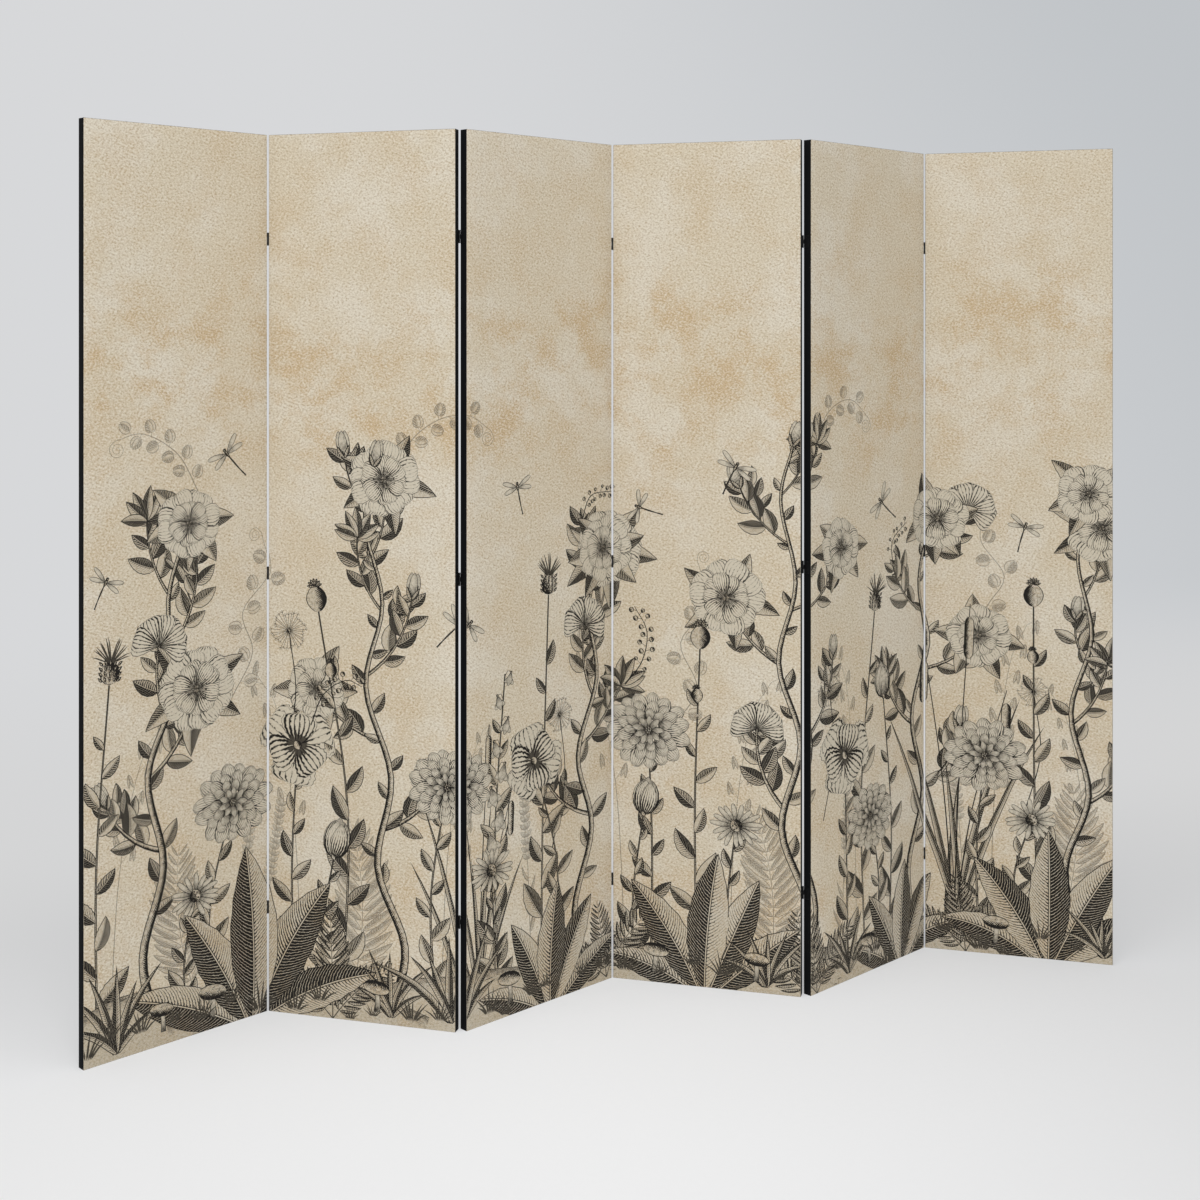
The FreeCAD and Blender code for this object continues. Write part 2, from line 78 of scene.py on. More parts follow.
PRINT_SHINE = 0.22
THREADS_PER_METRE = 1700.0
POINTS_PER_METRE = 420.0      # rows of pressed points of the back cloth
SAND_SLANT = 24.0             # the slant of the sandy grain in degrees
LINE_BLUR = 0.16              # the soft edge of an engraved line, as a share of half its period
WORN_EDGE, EDGE_DUST = (0.015, 0.015, 0.016), (0.024, 0.023, 0.022)
FIBRE_GREY, MATTED_GREY, CLOTH_DUST = (0.042, 0.042, 0.043), (0.045, 0.045, 0.045), (0.062, 0.060, 0.056)
RUBBED_PAINT, DULL_ZINC = (0.085, 0.083, 0.080), (0.30, 0.305, 0.31)
LATE_PINE, LATE_BEECH = (0.42, 0.24, 0.10), (0.40, 0.25, 0.14)
PAPER_TOOTH, ROOM_WHITE = (0.7, 0.7, 0.7), (0.97, 0.985, 1.0)
PAINTED_LIGHT_PLACE = (0.1, -0.3, 0.0)  # where the pool of light painted on the studio floor is brightest


def length(name, description, default):
    """A length in metres for the sidebar."""
    return FloatProperty(name=name, description=description, default=default, unit="LENGTH", precision=5)


def power(name, description, default):
    """The power of a lamp in watts for the sidebar."""
    return FloatProperty(name=name, description=description, default=default, min=0.0, unit="POWER")


def colour(name, description, default):
    """A colour for the sidebar, as linear red, green and blue."""
    return FloatVectorProperty(name=name, description=description, default=default, size=3, subtype="COLOR",
                               min=0.0, max=1.0)


class DIVIDER_sizes(bpy.types.PropertyGroup):
    """Sizes of the soft pieces and of the print."""

    width: length("Panel width", "One panel, over its canvas", 0.385)
    height: length("Panel height", "One panel, over its canvas", 1.7)
    depth: length("Panel depth", "Printed face to the back of the canvas", 0.018)
    canvas: length("Canvas thickness", "The printed canvas", 0.0005)
    turnover: length("Turnover", "Canvas folded on to the back of the frame", 0.024)
    edge_round: length("Edge rounding", "Radius of the canvas over the edges of the frame", 0.0009)
    lath: length("Lath width", "A stile or a rail of the frame under the cloth", 0.038)
    canvas_dip: length("Canvas dip", "How far the canvas gives between the laths", 0.0003)
    cloth: length("Back cloth thickness", "The black cloth over the back", 0.0004)
    cloth_margin: length("Back cloth margin", "Edge of the panel to the edge of the back cloth", 0.005)
    cloth_dip: length("Back cloth dip", "How far the back cloth gives between the laths", 0.0026)
    staple_inset: length("Staple inset", "Edge of the panel to the line of staples", 0.012)
    staple_step: length("Staple step", "Between two staples along a stile", 0.0828)
    ink_step: length("Ink step", "The lowest layer of the print over the canvas", 0.00004)
    ink_rise: length("Ink rise", "The highest layer of the print over the lowest", 0.00054)
    ink_depth: length("Ink depth", "How far the ink goes into the canvas", 0.0006)
    ink_margin: length("Ink margin", "Edge of the panel to the print", 0.0008)


class DIVIDER_colours(bpy.types.PropertyGroup):
    """Colours of the print, the cloths and the fittings."""

    parchment: colour("Parchment", "Ground of the print", (0.640, 0.560, 0.425))
    pale: colour("Pale cloud", "Washed-out places of the ground", (0.690, 0.630, 0.520))
    stain: colour("Tea stain", "Brown places of the ground", (0.560, 0.415, 0.245))
    speck: colour("Grain", "Fine dark grain of the ground", (0.400, 0.300, 0.185))
    glint: colour("Pale grain", "Fine pale grain of the ground", (0.770, 0.720, 0.620))
    ink: colour("Ink", "Lines of the engraving", (0.013, 0.011, 0.009))
    wash: colour("Wash", "Fill between the lines", (0.385, 0.332, 0.245))
    light: colour("Light", "Fill of the pale petals", (0.570, 0.518, 0.415))
    edge: colour("Edge black", "Canvas round the edges and on the back", (0.0045, 0.0050, 0.0058))
    # Cloth black is also the painted shade of the bays between the laths; the pressed cloth lies lighter on the laths
    cloth: colour("Cloth black", "Plain cloth over the back", (0.0095, 0.0095, 0.0102))
    cloth_pressed_unshaded: colour("Pressed cloth", "Plain cloth where it lies on the laths", (0.0240, 0.0240, 0.0245))
    hinge: colour("Hinge black", "Painted hinges and screws", (0.0100, 0.0103, 0.0110))
    steel: colour("Staple steel", "Galvanised wire", (0.520, 0.530, 0.545))
    pine: colour("Pine", "Stiles and rails", (0.620, 0.430, 0.240))
    beech: colour("Beech", "Dowels", (0.560, 0.380, 0.230))


class DIVIDER_studio(bpy.types.PropertyGroup):
    """The camera, the lamps and the room."""

    lens: FloatProperty(name="Lens", description="Focal length in millimetres", default=51.335, min=1.0,
                        unit="CAMERA")
    shift: FloatProperty(name="Shift", description="Camera shift that keeps the uprights upright", default=-0.22021)
    place: FloatVectorProperty(name="Camera place", description="Where the camera stands", size=3,
                               default=(-0.89378, -3.28817, 1.31044), subtype="TRANSLATION")
    turn: FloatProperty(name="Camera turn", description="Turn of the camera about the upright", subtype="ANGLE",
                        default=math.radians(-14.4115))
    key: power("Key lamp", "Power of the large lamp at the left", 36.0)
    front: power("Front lamp", "Power of the lamp beside the camera", 52.0)
    fill: power("Fill lamp", "Power of the lamp at the right", 4.0)
    top: power("Top lamp", "Power of the lamp overhead", 30.0)
    room: FloatProperty(name="Room light", description="Strength of the even light of the room", default=0.55,
                        min=0.0)
    floor: colour("Floor", "Near part of the studio floor", (0.83, 0.83, 0.83))
    # the colour of the pool of light painted on the floor round the lit place
    floor_painted_light: colour("Lit floor", "Floor in front of the screen", (0.96, 0.96, 0.965))
    near_floor: colour("Near floor", "Even part of the floor before the screen", (0.830, 0.830, 0.832))
    # painted shade: the near floor glows darker at the right
    near_floor_right_shaded: colour("Near floor at the right", "Even part of the floor at the right", (0.655, 0.656, 0.660))
    far_floor: colour("Far floor", "Floor behind the screen at the left", (0.660, 0.662, 0.666))
    far_floor_right: colour("Far floor at the right", "Floor behind the screen at the right", (0.665, 0.665, 0.667))
    # the wall glows with painted light at the left and painted shade at the right
    wall: colour("Wall", "Lit side of the studio wall", (0.680, 0.687, 0.700))
    wall_far_shaded: colour("Far wall", "Shaded side of the studio wall", (0.530, 0.552, 0.575))


# Materials


class Reading:
    """A node's output; readings are added, subtracted, multiplied and divided like numbers."""

    def __init__(self, nodes, socket):
        self.nodes, self.socket = nodes, socket

    def __add__(self, other):
        return self.nodes.math("ADD", self, other)

    def __sub__(self, other):
        return self.nodes.math("SUBTRACT", self, other)

    def __mul__(self, other):
        return self.nodes.math("MULTIPLY", self, other)

    def __truediv__(self, other):
        return self.nodes.math("DIVIDE", self, other)

    def __abs__(self):
        return self.nodes.math("ABSOLUTE", self)


class Nodes:
    """Short names for building a material's nodes."""

    def __init__(self, name, **surface):
        self.material = bpy.data.materials.new(name)
        self.material.use_nodes = True
        self.tree = self.material.node_tree
        self.surface = self.tree.nodes["Principled BSDF"]
        for socket, setting in surface.items():
            self.surface.inputs[socket.replace("_", " ")].default_value = setting

    def feed(self, socket, given):
        """Links a reading to a socket, or sets the socket to a number or a colour."""
        if isinstance(given, Reading):
            self.tree.links.new(given.socket, socket)
        else:
            socket.default_value = given

    def add(self, kind, settings=(), **inputs):
        """A new node with its settings; an input goes by its name, or by its number, as in i0."""
        node = self.tree.nodes.new(kind)
        for key, setting in dict(settings).items():
            setattr(node, key, setting)
        for key, given in inputs.items():
            self.feed(node.inputs[int(key[1:]) if key[1:].isdigit() else key.replace("_", " ")], given)
        return node

    def read(self, output, kind, settings=(), **inputs):
        """One output of a new node."""
        return Reading(self, self.add(kind, settings, **inputs).outputs[output])

    def math(self, operation, *terms):
        numbered = {f"i{k}": term for k, term in enumerate(terms)}
        return self.read(0, "ShaderNodeMath", {"operation": operation}, **numbered)

    def most(self, first, second):
        return self.math("MAXIMUM", first, second)

    def map(self, given, low, high, to_low=0.0, to_high=1.0, how="LINEAR"):
        """A number read from low to high and given back from to_low to to_high."""
        return self.read("Result", "ShaderNodeMapRange", {"interpolation_type": how}, Value=given, From_Min=low,
                         From_Max=high, To_Min=to_low, To_Max=to_high)

    def ease(self, *numbers):
        """The same with a soft start and a soft end."""
        return self.map(*numbers, how="SMOOTHSTEP")

    def mix(self, share, first, second):
        """A colour between two colours."""
        first, second = (given if isinstance(given, Reading) else (*given, 1.0) for given in (first, second))
        return self.read(2, "ShaderNodeMix", {"data_type": "RGBA", "clamp_result": True}, i0=share, i6=first, i7=second)

    def noise(self, where, scale, detail=2.0, roughness=0.5):
        return self.read("Fac", "ShaderNodeTexNoise", Vector=where, Scale=scale, Detail=detail, Roughness=roughness)

    def stretched(self, where, scale, turn=0.0):
        """Coordinates stretched by three factors and turned by an angle in degrees."""
        return self.read("Vector", "ShaderNodeMapping", Vector=where, Rotation=(0.0, 0.0, math.radians(turn)),
                         Scale=scale)

    def parts(self, vector):
        """The x, y and z of a vector."""
        outputs = self.add("ShaderNodeSeparateXYZ", Vector=vector).outputs
        return [Reading(self, outputs[axis]) for axis in "XYZ"]

    def of_object(self):
        return self.read("Object", "ShaderNodeTexCoord")

    def of_map(self, name):
        return self.read("UV", "ShaderNodeUVMap", {"uv_map": name})

    def of_attribute(self, name, output="Fac"):
        return self.read(output, "ShaderNodeAttribute", {"attribute_type": "GEOMETRY", "attribute_name": name})

    def finished(self, colour, roughness, relief, strength, distance):
        """The material, with its colour, its roughness and its relief."""
        bump = self.read("Normal", "ShaderNodeBump", Height=relief, Strength=strength, Distance=distance)
        for name, given in (("Base Color", colour), ("Roughness", roughness), ("Normal", bump)):
            self.feed(self.surface.inputs[name], given)
        return self.material


def parchment_colour(nodes, where, colours):
    """Aged parchment: pale and tan blotches, a band of tea stain across the upper half, and sandy grain."""
    _, height, _ = nodes.parts(where)
    drift = nodes.noise(where, 1.9, 3.0, 0.6)
    clouds = nodes.noise(where, 4.6, 6.0, 0.68)
    sand = nodes.noise(nodes.stretched(where, (230.0, 290.0, 1.0), SAND_SLANT), 1.0, 3.0, 0.75)
    grain = nodes.noise(where, 620.0, 2.0, 0.7)
    level = height + (drift - 0.5) * 0.9
    band = nodes.ease(level, 0.98, 1.2) * nodes.ease(level, 1.48, 1.28)
    blots = nodes.ease(nodes.noise(where, 8.5, 7.0, 0.72), 0.42, 0.66)
    low = nodes.ease(level, 0.7, 0.1, 0.0, 0.3)
    stained = blots * (band * 0.62 + (low + 0.34)) * nodes.map(sand, 0.36, 0.66, 0.55, 1.6)
    ground = nodes.mix(nodes.ease(clouds, 0.44, 0.62), colours.parchment, colours.pale)
    ground = nodes.mix(stained, ground, colours.stain)
    ground = nodes.mix(nodes.map(sand, 0.5, 0.72, 0.0, 1.2), ground, colours.speck)
    ground = nodes.mix(nodes.map(sand, 0.49, 0.27, 0.0, 1.1), ground, colours.glint)
    return nodes.mix(nodes.map(grain, 0.54, 0.76, 0.0, 0.5), ground, colours.speck)


def printed_finish(nodes, where, colour):
    """The matt face of the canvas with its plain weave, warp over weft by turns."""
    warp, weft, _ = (nodes.math("SINE", way * (THREADS_PER_METRE * math.pi)) for way in nodes.parts(where))
    slubs = nodes.noise(nodes.stretched(where, (260.0, 1300.0, 1.0)), 1.0)
    return nodes.finished(colour, nodes.map(slubs, 0.3, 0.7, 0.78, 0.9), abs(warp * weft) + slubs * 0.8, 0.22, 0.0002)


def make_parchment(colours):
    """The ground of the print."""
    nodes = Nodes("parchment_print", Specular_IOR_Level=PRINT_SHINE)
    where = nodes.of_map("cut")
    return printed_finish(nodes, where, parchment_colour(nodes, where, colours))


def make_edge_black(colours):
    """The dyed canvas round the edges, worn and a little dusty."""
    nodes = Nodes("black_canvas", Specular_IOR_Level=0.12)
    where = nodes.of_map("cut")
    worn = nodes.map(nodes.noise(where, 60.0, 6.0, 0.7), 0.55, 0.80, 0.0, 0.5)
    dust = nodes.map(nodes.noise(where, 900.0, 2.0, 0.6), 0.6, 0.8, 0.0, 0.35)
    return printed_finish(nodes, where, nodes.mix(dust, nodes.mix(worn, colours.edge, WORN_EDGE), EDGE_DUST))


def make_back_cloth_black(colours):
    """Non-woven cloth: matted fibres held by rows of small pressed points, flattened and a little dusty on the laths,
    and darker in the bays between them as painted shade.
    """
    nodes = Nodes("black_back_cloth", Specular_IOR_Level=0.35, Sheen_Weight=0.08, Sheen_Roughness=0.5)
    where = nodes.of_map("cut")
    x, y, _ = nodes.parts(nodes.stretched(where, (POINTS_PER_METRE, POINTS_PER_METRE, 1.0), 45.0))
    points = nodes.ease(nodes.most(*(abs(nodes.math("FRACT", way) - 0.5) for way in (x, y))), 0.16, 0.26)
    fibres = nodes.noise(nodes.stretched(where, (700.0, 2300.0, 1.0)), 1.0, 3.0, 0.65)
    matted = nodes.noise(nodes.stretched(where, (95.0, 240.0, 1.0)), 1.0, 4.0, 0.7)
    dust = nodes.noise(where, 14.0, 6.0, 0.65)
    # lighter over the laths, where the cloth is pressed and dusty, and darker in the bays as painted shade
    pressed_and_bay_shade = nodes.ease(nodes.of_attribute("pressed_and_bay_shade"), 0.0, 1.0, 0.05, 0.95)
    tone = nodes.mix(pressed_and_bay_shade, colours.cloth, colours.cloth_pressed_unshaded)
    tone = nodes.mix(nodes.map(fibres, 0.35, 0.75, 0.0, 0.5), tone, FIBRE_GREY)
    tone = nodes.mix(nodes.map(matted, 0.42, 0.72, 0.0, 0.55), tone, MATTED_GREY)
    tone = nodes.mix(nodes.map(dust, 0.5, 0.75, 0.0, 0.4), tone, CLOTH_DUST)
    return nodes.finished(tone, nodes.map(points, 0.0, 1.0, 0.5, 0.85), points + (matted + fibres * 0.6), 0.6, 0.0004)


def make_painted_metal(colours):
    """Stoved black paint, with bright wear where the hinge rubs."""
    nodes = Nodes("black_hinge", Metallic=0.35, Specular_IOR_Level=0.5)
    where = nodes.of_object()
    peel = nodes.noise(where, 1800.0, 3.0, 0.55)
    rub = nodes.noise(where, 420.0, 6.0, 0.75)
    tone = nodes.mix(nodes.ease(rub, 0.66, 0.76, 0.0, 0.5), colours.hinge, RUBBED_PAINT)
    return nodes.finished(tone, nodes.map(peel, 0.3, 0.7, 0.34, 0.5), peel, 0.15, 0.00008)


def make_steel(colours):
    """Galvanised wire, dull in places."""
    nodes = Nodes("staple_wire", Metallic=0.9, Specular_IOR_Level=0.5)
    where = nodes.of_object()
    drawn = nodes.noise(where, 2600.0, 4.0, 0.7)
    dull = nodes.noise(where, 500.0, 3.0, 0.6)
    tone = nodes.mix(nodes.map(dull, 0.4, 0.7, 0.0, 0.7), colours.steel, DULL_ZINC)
    return nodes.finished(tone, nodes.map(drawn, 0.3, 0.7, 0.3, 0.5), drawn, 0.1, 0.00005)


def make_wood(name, shade, late, rings):
    """Planed softwood or turned hardwood: rings of late wood, and pores."""
    nodes = Nodes(name, Specular_IOR_Level=0.4)
    where = nodes.of_object()
    bent = nodes.noise(nodes.stretched(where, (1.0, 1.0, 0.06)), 14.0, 3.0, 0.5)
    pores = nodes.noise(nodes.stretched(where, (2400.0, 2400.0, 60.0)), 1.0)
    tone = nodes.mix(nodes.map(nodes.math("SINE", bent * rings), -0.2, 0.95, 0.0, 0.75), shade, late)
    tone = nodes.mix(nodes.map(pores, 0.58, 0.8, 0.0, 0.4), tone, late)
    return nodes.finished(tone, nodes.map(pores, 0.3, 0.7, 0.55, 0.7), pores, 0.2, 0.0001)


# Panels


def panel_matrix(number):
    """Where a panel stands: its own frame has x across it, y to the back and z up."""
    depth = bpy.context.scene.divider_sizes.depth
    low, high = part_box(f"panel_{number}_canvas")
    turn = FOLD if number % 2 else -FOLD
    if number % 2:
        corner = (low[0] + depth * math.sin(turn), low[1], low[2])
    else:
        corner = (low[0], high[1] - depth * math.cos(turn), low[2])
    return Matrix.Translation(corner) @ Matrix.Rotation(turn, 4, "Z")


def finish_piece(name, bm, materials, number):
    """The finished piece of a panel, in the panel's place."""
    bm.transform(panel_matrix(number))
    mesh = bpy.data.meshes.new(name)
    bm.to_mesh(mesh)
    bm.free()
    for material in materials:
        mesh.materials.append(material)
    piece = bpy.data.objects.new(name, mesh)
    bpy.context.scene.collection.objects.link(piece)
    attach(piece, f"panel_{number}")
    return piece


def thicken(piece, thickness):
    """Gives a skin its thickness, inwards."""
    wall = piece.modifiers.new("thickness", "SOLIDIFY")
    wall.thickness, wall.offset = thickness, -1.0


def in_bay(sizes, x, z, reach):
    """How far a place of a panel is from the laths: 0 over a lath, and 1 past the reach, across and up."""
    bay = (sizes.height - sizes.lath) / 3
    across = min(x, sizes.width - x) - sizes.lath
    up = (z - sizes.lath / 2) % bay
    along = min(up, bay - up) - sizes.lath / 2
    if across <= 0 or along <= 0:
        return 0.0
    edge = min(1.0, across / reach[0]) * min(1.0, along / reach[1])
    return edge * edge * (3 - 2 * edge)


def let_canvas_give(sizes, verts):
    """Moves corners of the canvas, or of the ink on it, back between the laths."""
    for vert in verts:
        vert.co.y += sizes.canvas_dip * in_bay(sizes, vert.co.x, vert.co.z, CANVAS_REACH)


def cut(bm, axis, place, outwards=1, drop=False):
    """Cuts the whole mesh across an axis, and may drop what lies outwards of the cut."""
    point, normal = Vector(), Vector()
    point[axis], normal[axis] = place, outwards
    bmesh.ops.bisect_plane(bm, geom=bm.verts[:] + bm.edges[:] + bm.faces[:], dist=ON_THE_CUT, plane_co=point,
                           plane_no=normal, clear_outer=drop)


def lay_flat_map(bm, start):
    """A map in metres for the weave: the front as it lies on the cut, the edges and the back beside it."""
    flat = bm.loops.layers.uv.new("cut")
    for face in bm.faces:
        normal = [abs(c) for c in face.normal]
        axis = normal.index(max(normal))
        for loop in face.loops:
            x, y, z = loop.vert.co
            loop[flat].uv = ((start + y, z), (start + x, z), (start + x, y))[axis]


def lay_bake_map(bm, low, high, unrolled=lambda face, corner: (corner.x, corner.z)):
    """A map for baking: a sheet from low to high, with its lower half at the left and its upper half at the right.

    unrolled gives where a corner of a face lies on the sheet.
    """
    bake = bm.loops.layers.uv.new("OFBake")
    wide, half = high[0] - low[0], (high[1] - low[1]) / 2
    for face in bm.faces:
        places = [unrolled(face, loop.vert.co) for loop in face.loops]
        upper = sum(up for _, up in places) / len(places) > low[1] + half
        for loop, (across, up) in zip(face.loops, places):
            loop[bake].uv = (0.5 * upper + MAP_GAP + (0.5 - 2 * MAP_GAP) * (across - low[0]) / wide,
                             MAP_GAP + (1 - 2 * MAP_GAP) * ((up - low[1]) / half - upper))


def unrolled_canvas(sizes):
    """Where a corner of one of the canvas's faces lies when the canvas is flat again."""
    wide, deep, high = sizes.width, sizes.depth, sizes.height

    def place(face, corner):
        x, y, z = corner
        if face.normal.y < FRONT_FACING:
            return x, z
        middle = face.calc_center_median()
        turn = -1 if face.normal.y > 0.1 else 1    # what is turned over on to the back runs inwards
        _, flat = min((middle.x, (turn * x - y, z)), (wide - middle.x, (wide + y - turn * (wide - x), z)),
                      (middle.z, (x, turn * z - y)), (high - middle.z, (x, high + y - turn * (high - z))))
        return flat

    return place


def build_canvas(number, materials):
    """The printed canvas: over the front, round the edges and turned over on to the back."""
    sizes = bpy.context.scene.divider_sizes
    wide, deep, high = sizes.width, sizes.depth, sizes.height
    bm = bmesh.new()
    bmesh.ops.create_cube(bm, size=1.0, matrix=Matrix.Translation((wide / 2, deep / 2, high / 2))
                          @ Matrix.Diagonal((wide, deep, high, 1.0)))
    bmesh.ops.bevel(bm, geom=bm.edges[:], offset=sizes.edge_round, offset_type="OFFSET", segments=3, profile=0.5,
                    affect="EDGES", material=-1, clamp_overlap=True)
    back = max(bm.faces, key=lambda face: face.calc_center_median().y * face.calc_area())
    bmesh.ops.inset_region(bm, faces=[back], thickness=sizes.turnover - sizes.edge_round, use_even_offset=True)
    bmesh.ops.delete(bm, geom=[back], context="FACES")
    for axis, reach, strips in zip((0, 2), (wide, high), CANVAS_STRIPS):
        for k in range(1, strips):
            cut(bm, axis, reach * k / strips)
    front = [vert for vert in bm.verts if vert.co.y < sizes.edge_round / 4]
    let_canvas_give(sizes, front)
    bm.normal_update()
    for face in bm.faces:
        in_front = face.calc_center_median().y < sizes.canvas_dip * 1.5
        face.material_index = 0 if in_front and face.normal.y < FRONT_FACING else 1
        face.smooth = True
    lay_flat_map(bm, (number - 1) * wide)
    border = deep + sizes.turnover
    lay_bake_map(bm, (-border, -border), (wide + border, high + border), unrolled_canvas(sizes))
    piece = finish_piece(f"canvas_{number}", bm, materials, number)
    thicken(piece, sizes.canvas)
    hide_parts(f"panel_{number}_canvas")
    return piece


def build_back_cloth(number, material):
    """The plain cloth over the back: drawn tight at the staples, and giving a little between the laths."""
    sizes = bpy.context.scene.divider_sizes
    margin = sizes.cloth_margin
    wide, high = sizes.width - 2 * margin, sizes.height - 2 * margin
    bm = bmesh.new()
    bmesh.ops.create_grid(bm, x_segments=CLOTH_CELLS[0], y_segments=CLOTH_CELLS[1], size=0.5,
                          matrix=Matrix.Translation((sizes.width / 2, sizes.depth + sizes.cloth, sizes.height / 2))
                          @ Matrix.Rotation(math.radians(-90), 4, "X") @ Matrix.Diagonal((wide, high, 1.0, 1.0)))
    pressed_and_bay_shade = bm.verts.layers.float.new("pressed_and_bay_shade")
    for vert in bm.verts:
        x, _, z = vert.co
        give = sizes.cloth_dip * in_bay(sizes, x, z, CLOTH_REACH)
        # 1 over the laths, where the cloth is pressed, and 0 in the bays, which the cloth's material paints darker as
        # shade
        vert[pressed_and_bay_shade] = 1.0 - in_bay(sizes, x, z, PRESSED_AND_SHADE_REACH)
        # longer folds up the panel than across it, and others on each panel
        crumple = noise.fractal(Vector((x * 9 + 31 * number, 0.0, z * 5)), 0.8, 2.1, 4)
        edge = min(x, sizes.width - x, z, sizes.height - z)
        near = math.exp(-((edge - sizes.staple_inset) / PUCKER_REACH) ** 2)
        along = z if min(x, sizes.width - x) < min(z, sizes.height - z) else x
        beat = 0.5 - 0.5 * math.cos(math.tau * along / sizes.staple_step)
        vert.co.y += PUCKER * near * beat - give * (1 + 0.5 * crumple) + CRUMPLE * crumple
    bm.normal_update()
    if sum(face.normal.y for face in bm.faces) < 0:
        bmesh.ops.reverse_faces(bm, faces=bm.faces[:])
    for face in bm.faces:
        face.smooth = True
    lay_flat_map(bm, 0.0)
    lay_bake_map(bm, (margin, margin), (margin + wide, margin + high))
    piece = finish_piece(f"back_cloth_{number}", bm, [material], number)
    thicken(piece, sizes.cloth)
    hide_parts(f"panel_{number}_back_cloth")


def make_studio_paper(studio):
    """Paper that keeps the shadow near the screen and has a pool of light painted on it; for the camera it glows with
    painted light and shade, darker to the right, behind the screen and on the far side of the wall, and far off with
    the even white of the room.
    """
    nodes = Nodes("studio_paper", Specular_IOR_Level=0.1)
    where = nodes.of_object()
    x, y, z = nodes.parts(where)
    away, beside = y + z, abs(x)
    tooth = nodes.noise(where, 90.0, 3.0, 0.6)
    # a pool of light painted on the floor, brightest at the lit place and fading out within 1.7 m of it
    off = nodes.read("Value", "ShaderNodeVectorMath", {"operation": "DISTANCE"}, i0=where, i1=PAINTED_LIGHT_PLACE)
    floor = nodes.mix(nodes.ease(off, 1.7, 0.3), studio.floor, studio.floor_painted_light)
    nodes.finished(nodes.mix(nodes.map(tooth, 0.3, 0.7, 0.0, 0.05), floor, PAPER_TOOTH), 0.95, tooth, 0.05, 0.0005)

    # what the floor and the wall glow with for the camera: painted light and shade, the near floor darker to the right,
    # the floor behind the screen darker, and the wall lit at the left and shaded at the right
    front = nodes.mix(nodes.ease(x, -0.3, 1.2), studio.near_floor, studio.near_floor_right_shaded)
    behind = nodes.mix(nodes.ease(x, 0.2, 3.4), studio.far_floor, studio.far_floor_right)
    wall = nodes.mix(nodes.ease(x, -0.5, 7.5), studio.wall, studio.wall_far_shaded)
    shade = nodes.mix(nodes.ease(away, -0.3, 0.7), front, behind)
    shade = nodes.mix(nodes.ease(away, 0.8, 4.6), shade, wall)
    outer = nodes.most(nodes.ease(away, -1.5, -6.5), nodes.ease(beside, 8.5, 12.5))
    glow = nodes.read("Emission", "ShaderNodeEmission",
                      Color=nodes.mix(outer, shade, [studio.room * part for part in ROOM_WHITE]))

    ways = nodes.add("ShaderNodeLightPath").outputs
    camera, glossy, through = (Reading(nodes, ways[f"Is {kind} Ray"]) for kind in ("Camera", "Glossy", "Transmission"))
    far = nodes.most(nodes.ease(away, -2.0, -6.0), nodes.ease(beside, 2.5, 9.0))
    even = nodes.most(nodes.ease(away, 0.0, 1.4, 0.5, 1.0), far)
    blend = nodes.read("Shader", "ShaderNodeMixShader", Fac=nodes.most(camera, nodes.most(glossy, through)) * even,
                       i1=Reading(nodes, nodes.surface.outputs["BSDF"]), i2=glow)
    nodes.feed(nodes.tree.nodes["Material Output"].inputs["Surface"], blend)
    return nodes.material


def dress_node(name, material):
    """Gives a CAD node its material."""
    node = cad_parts[name]
    for slot in node.material_slots:
        slot.material = material
    if not node.material_slots:
        node.data.materials.append(material)


# The print: a garden of engraved plants, laid out in millimetres over the whole width of the screen


LEAF, PETAL, BARK, SOLID, GROUND, BROAD_LEAF = range(6)

# how a leaf or petal widens: the powers of the shares of its length below and above a place
POINTED, OVAL, LONG, BROAD, FAN = (0.75, 1.0), (0.6, 0.7), (0.5, 1.2), (0.9, 0.45), (1.15, 0.28)
FULL, CREASED, RAY, BLUNT, CUP, WING = (0.5, 0.55), (0.8, 0.36), (0.4, 0.32), (0.8, 0.3), (0.55, 0.75), (0.7, 0.4)
HEART, PINNA, SPOON, BLADE, GRASS = (0.55, 0.8), (0.6, 0.8), (0.85, 0.95), (0.4, 0.9), (0.35, 0.9)

SEED = 4                      # for all that varies in the garden
THINNEST = 0.16               # the least half width of a shape
GOLDEN = 137.5                # the turn in degrees from seed to seed of a flower
WAVY_COUNT = 20               # stations along a leaf with a waved rim
FAR, NEAR = 60, 40            # how high the far plants and the beds leave the ground
INK_CELL, INK_STEP = 3, 1.6   # the cells and the steps in which crossing shapes are looked for


def aim(angle, reach=1.0):
    """A step of that reach at an angle in degrees, counted from the right towards the top."""
    return cmath.rect(reach, math.radians(angle))


def bow(start, angle, reach, bend=0.0, count=8):
    """Stations on a line that leaves at an angle and turns by bend over its reach, closer together at its ends."""
    turn = math.radians(bend) or 1e-6
    shares = [0.5 - 0.5 * math.cos(math.pi * k / count) for k in range(count + 1)]
    return [start + aim(angle, reach) * (cmath.exp(1j * turn * share) - 1) / (1j * turn) for share in shares]


def smooth_line(points, steps=6):
    """A smooth line through the points."""
    points = [complex(*point) if isinstance(point, tuple) else point for point in points]
    ends = [2 * points[0] - points[1], *points, 2 * points[-1] - points[-2]]
    line = []
    for a, b, c, d in zip(ends, ends[1:], ends[2:], ends[3:]):
        for k in range(steps):
            t = k / steps
            line.append(0.5 * (2 * b + (c - a) * t + (2 * a - 5 * b + 4 * c - d) * t * t
                               + (3 * b - 3 * c + d - a) * t ** 3))
    return line + [points[-1]]


def lengths_along(line):
    """The run of a line at each of its stations."""
    run = [0.0]
    for first, second in pairwise(line):
        run.append(run[-1] + abs(second - first))
    return run


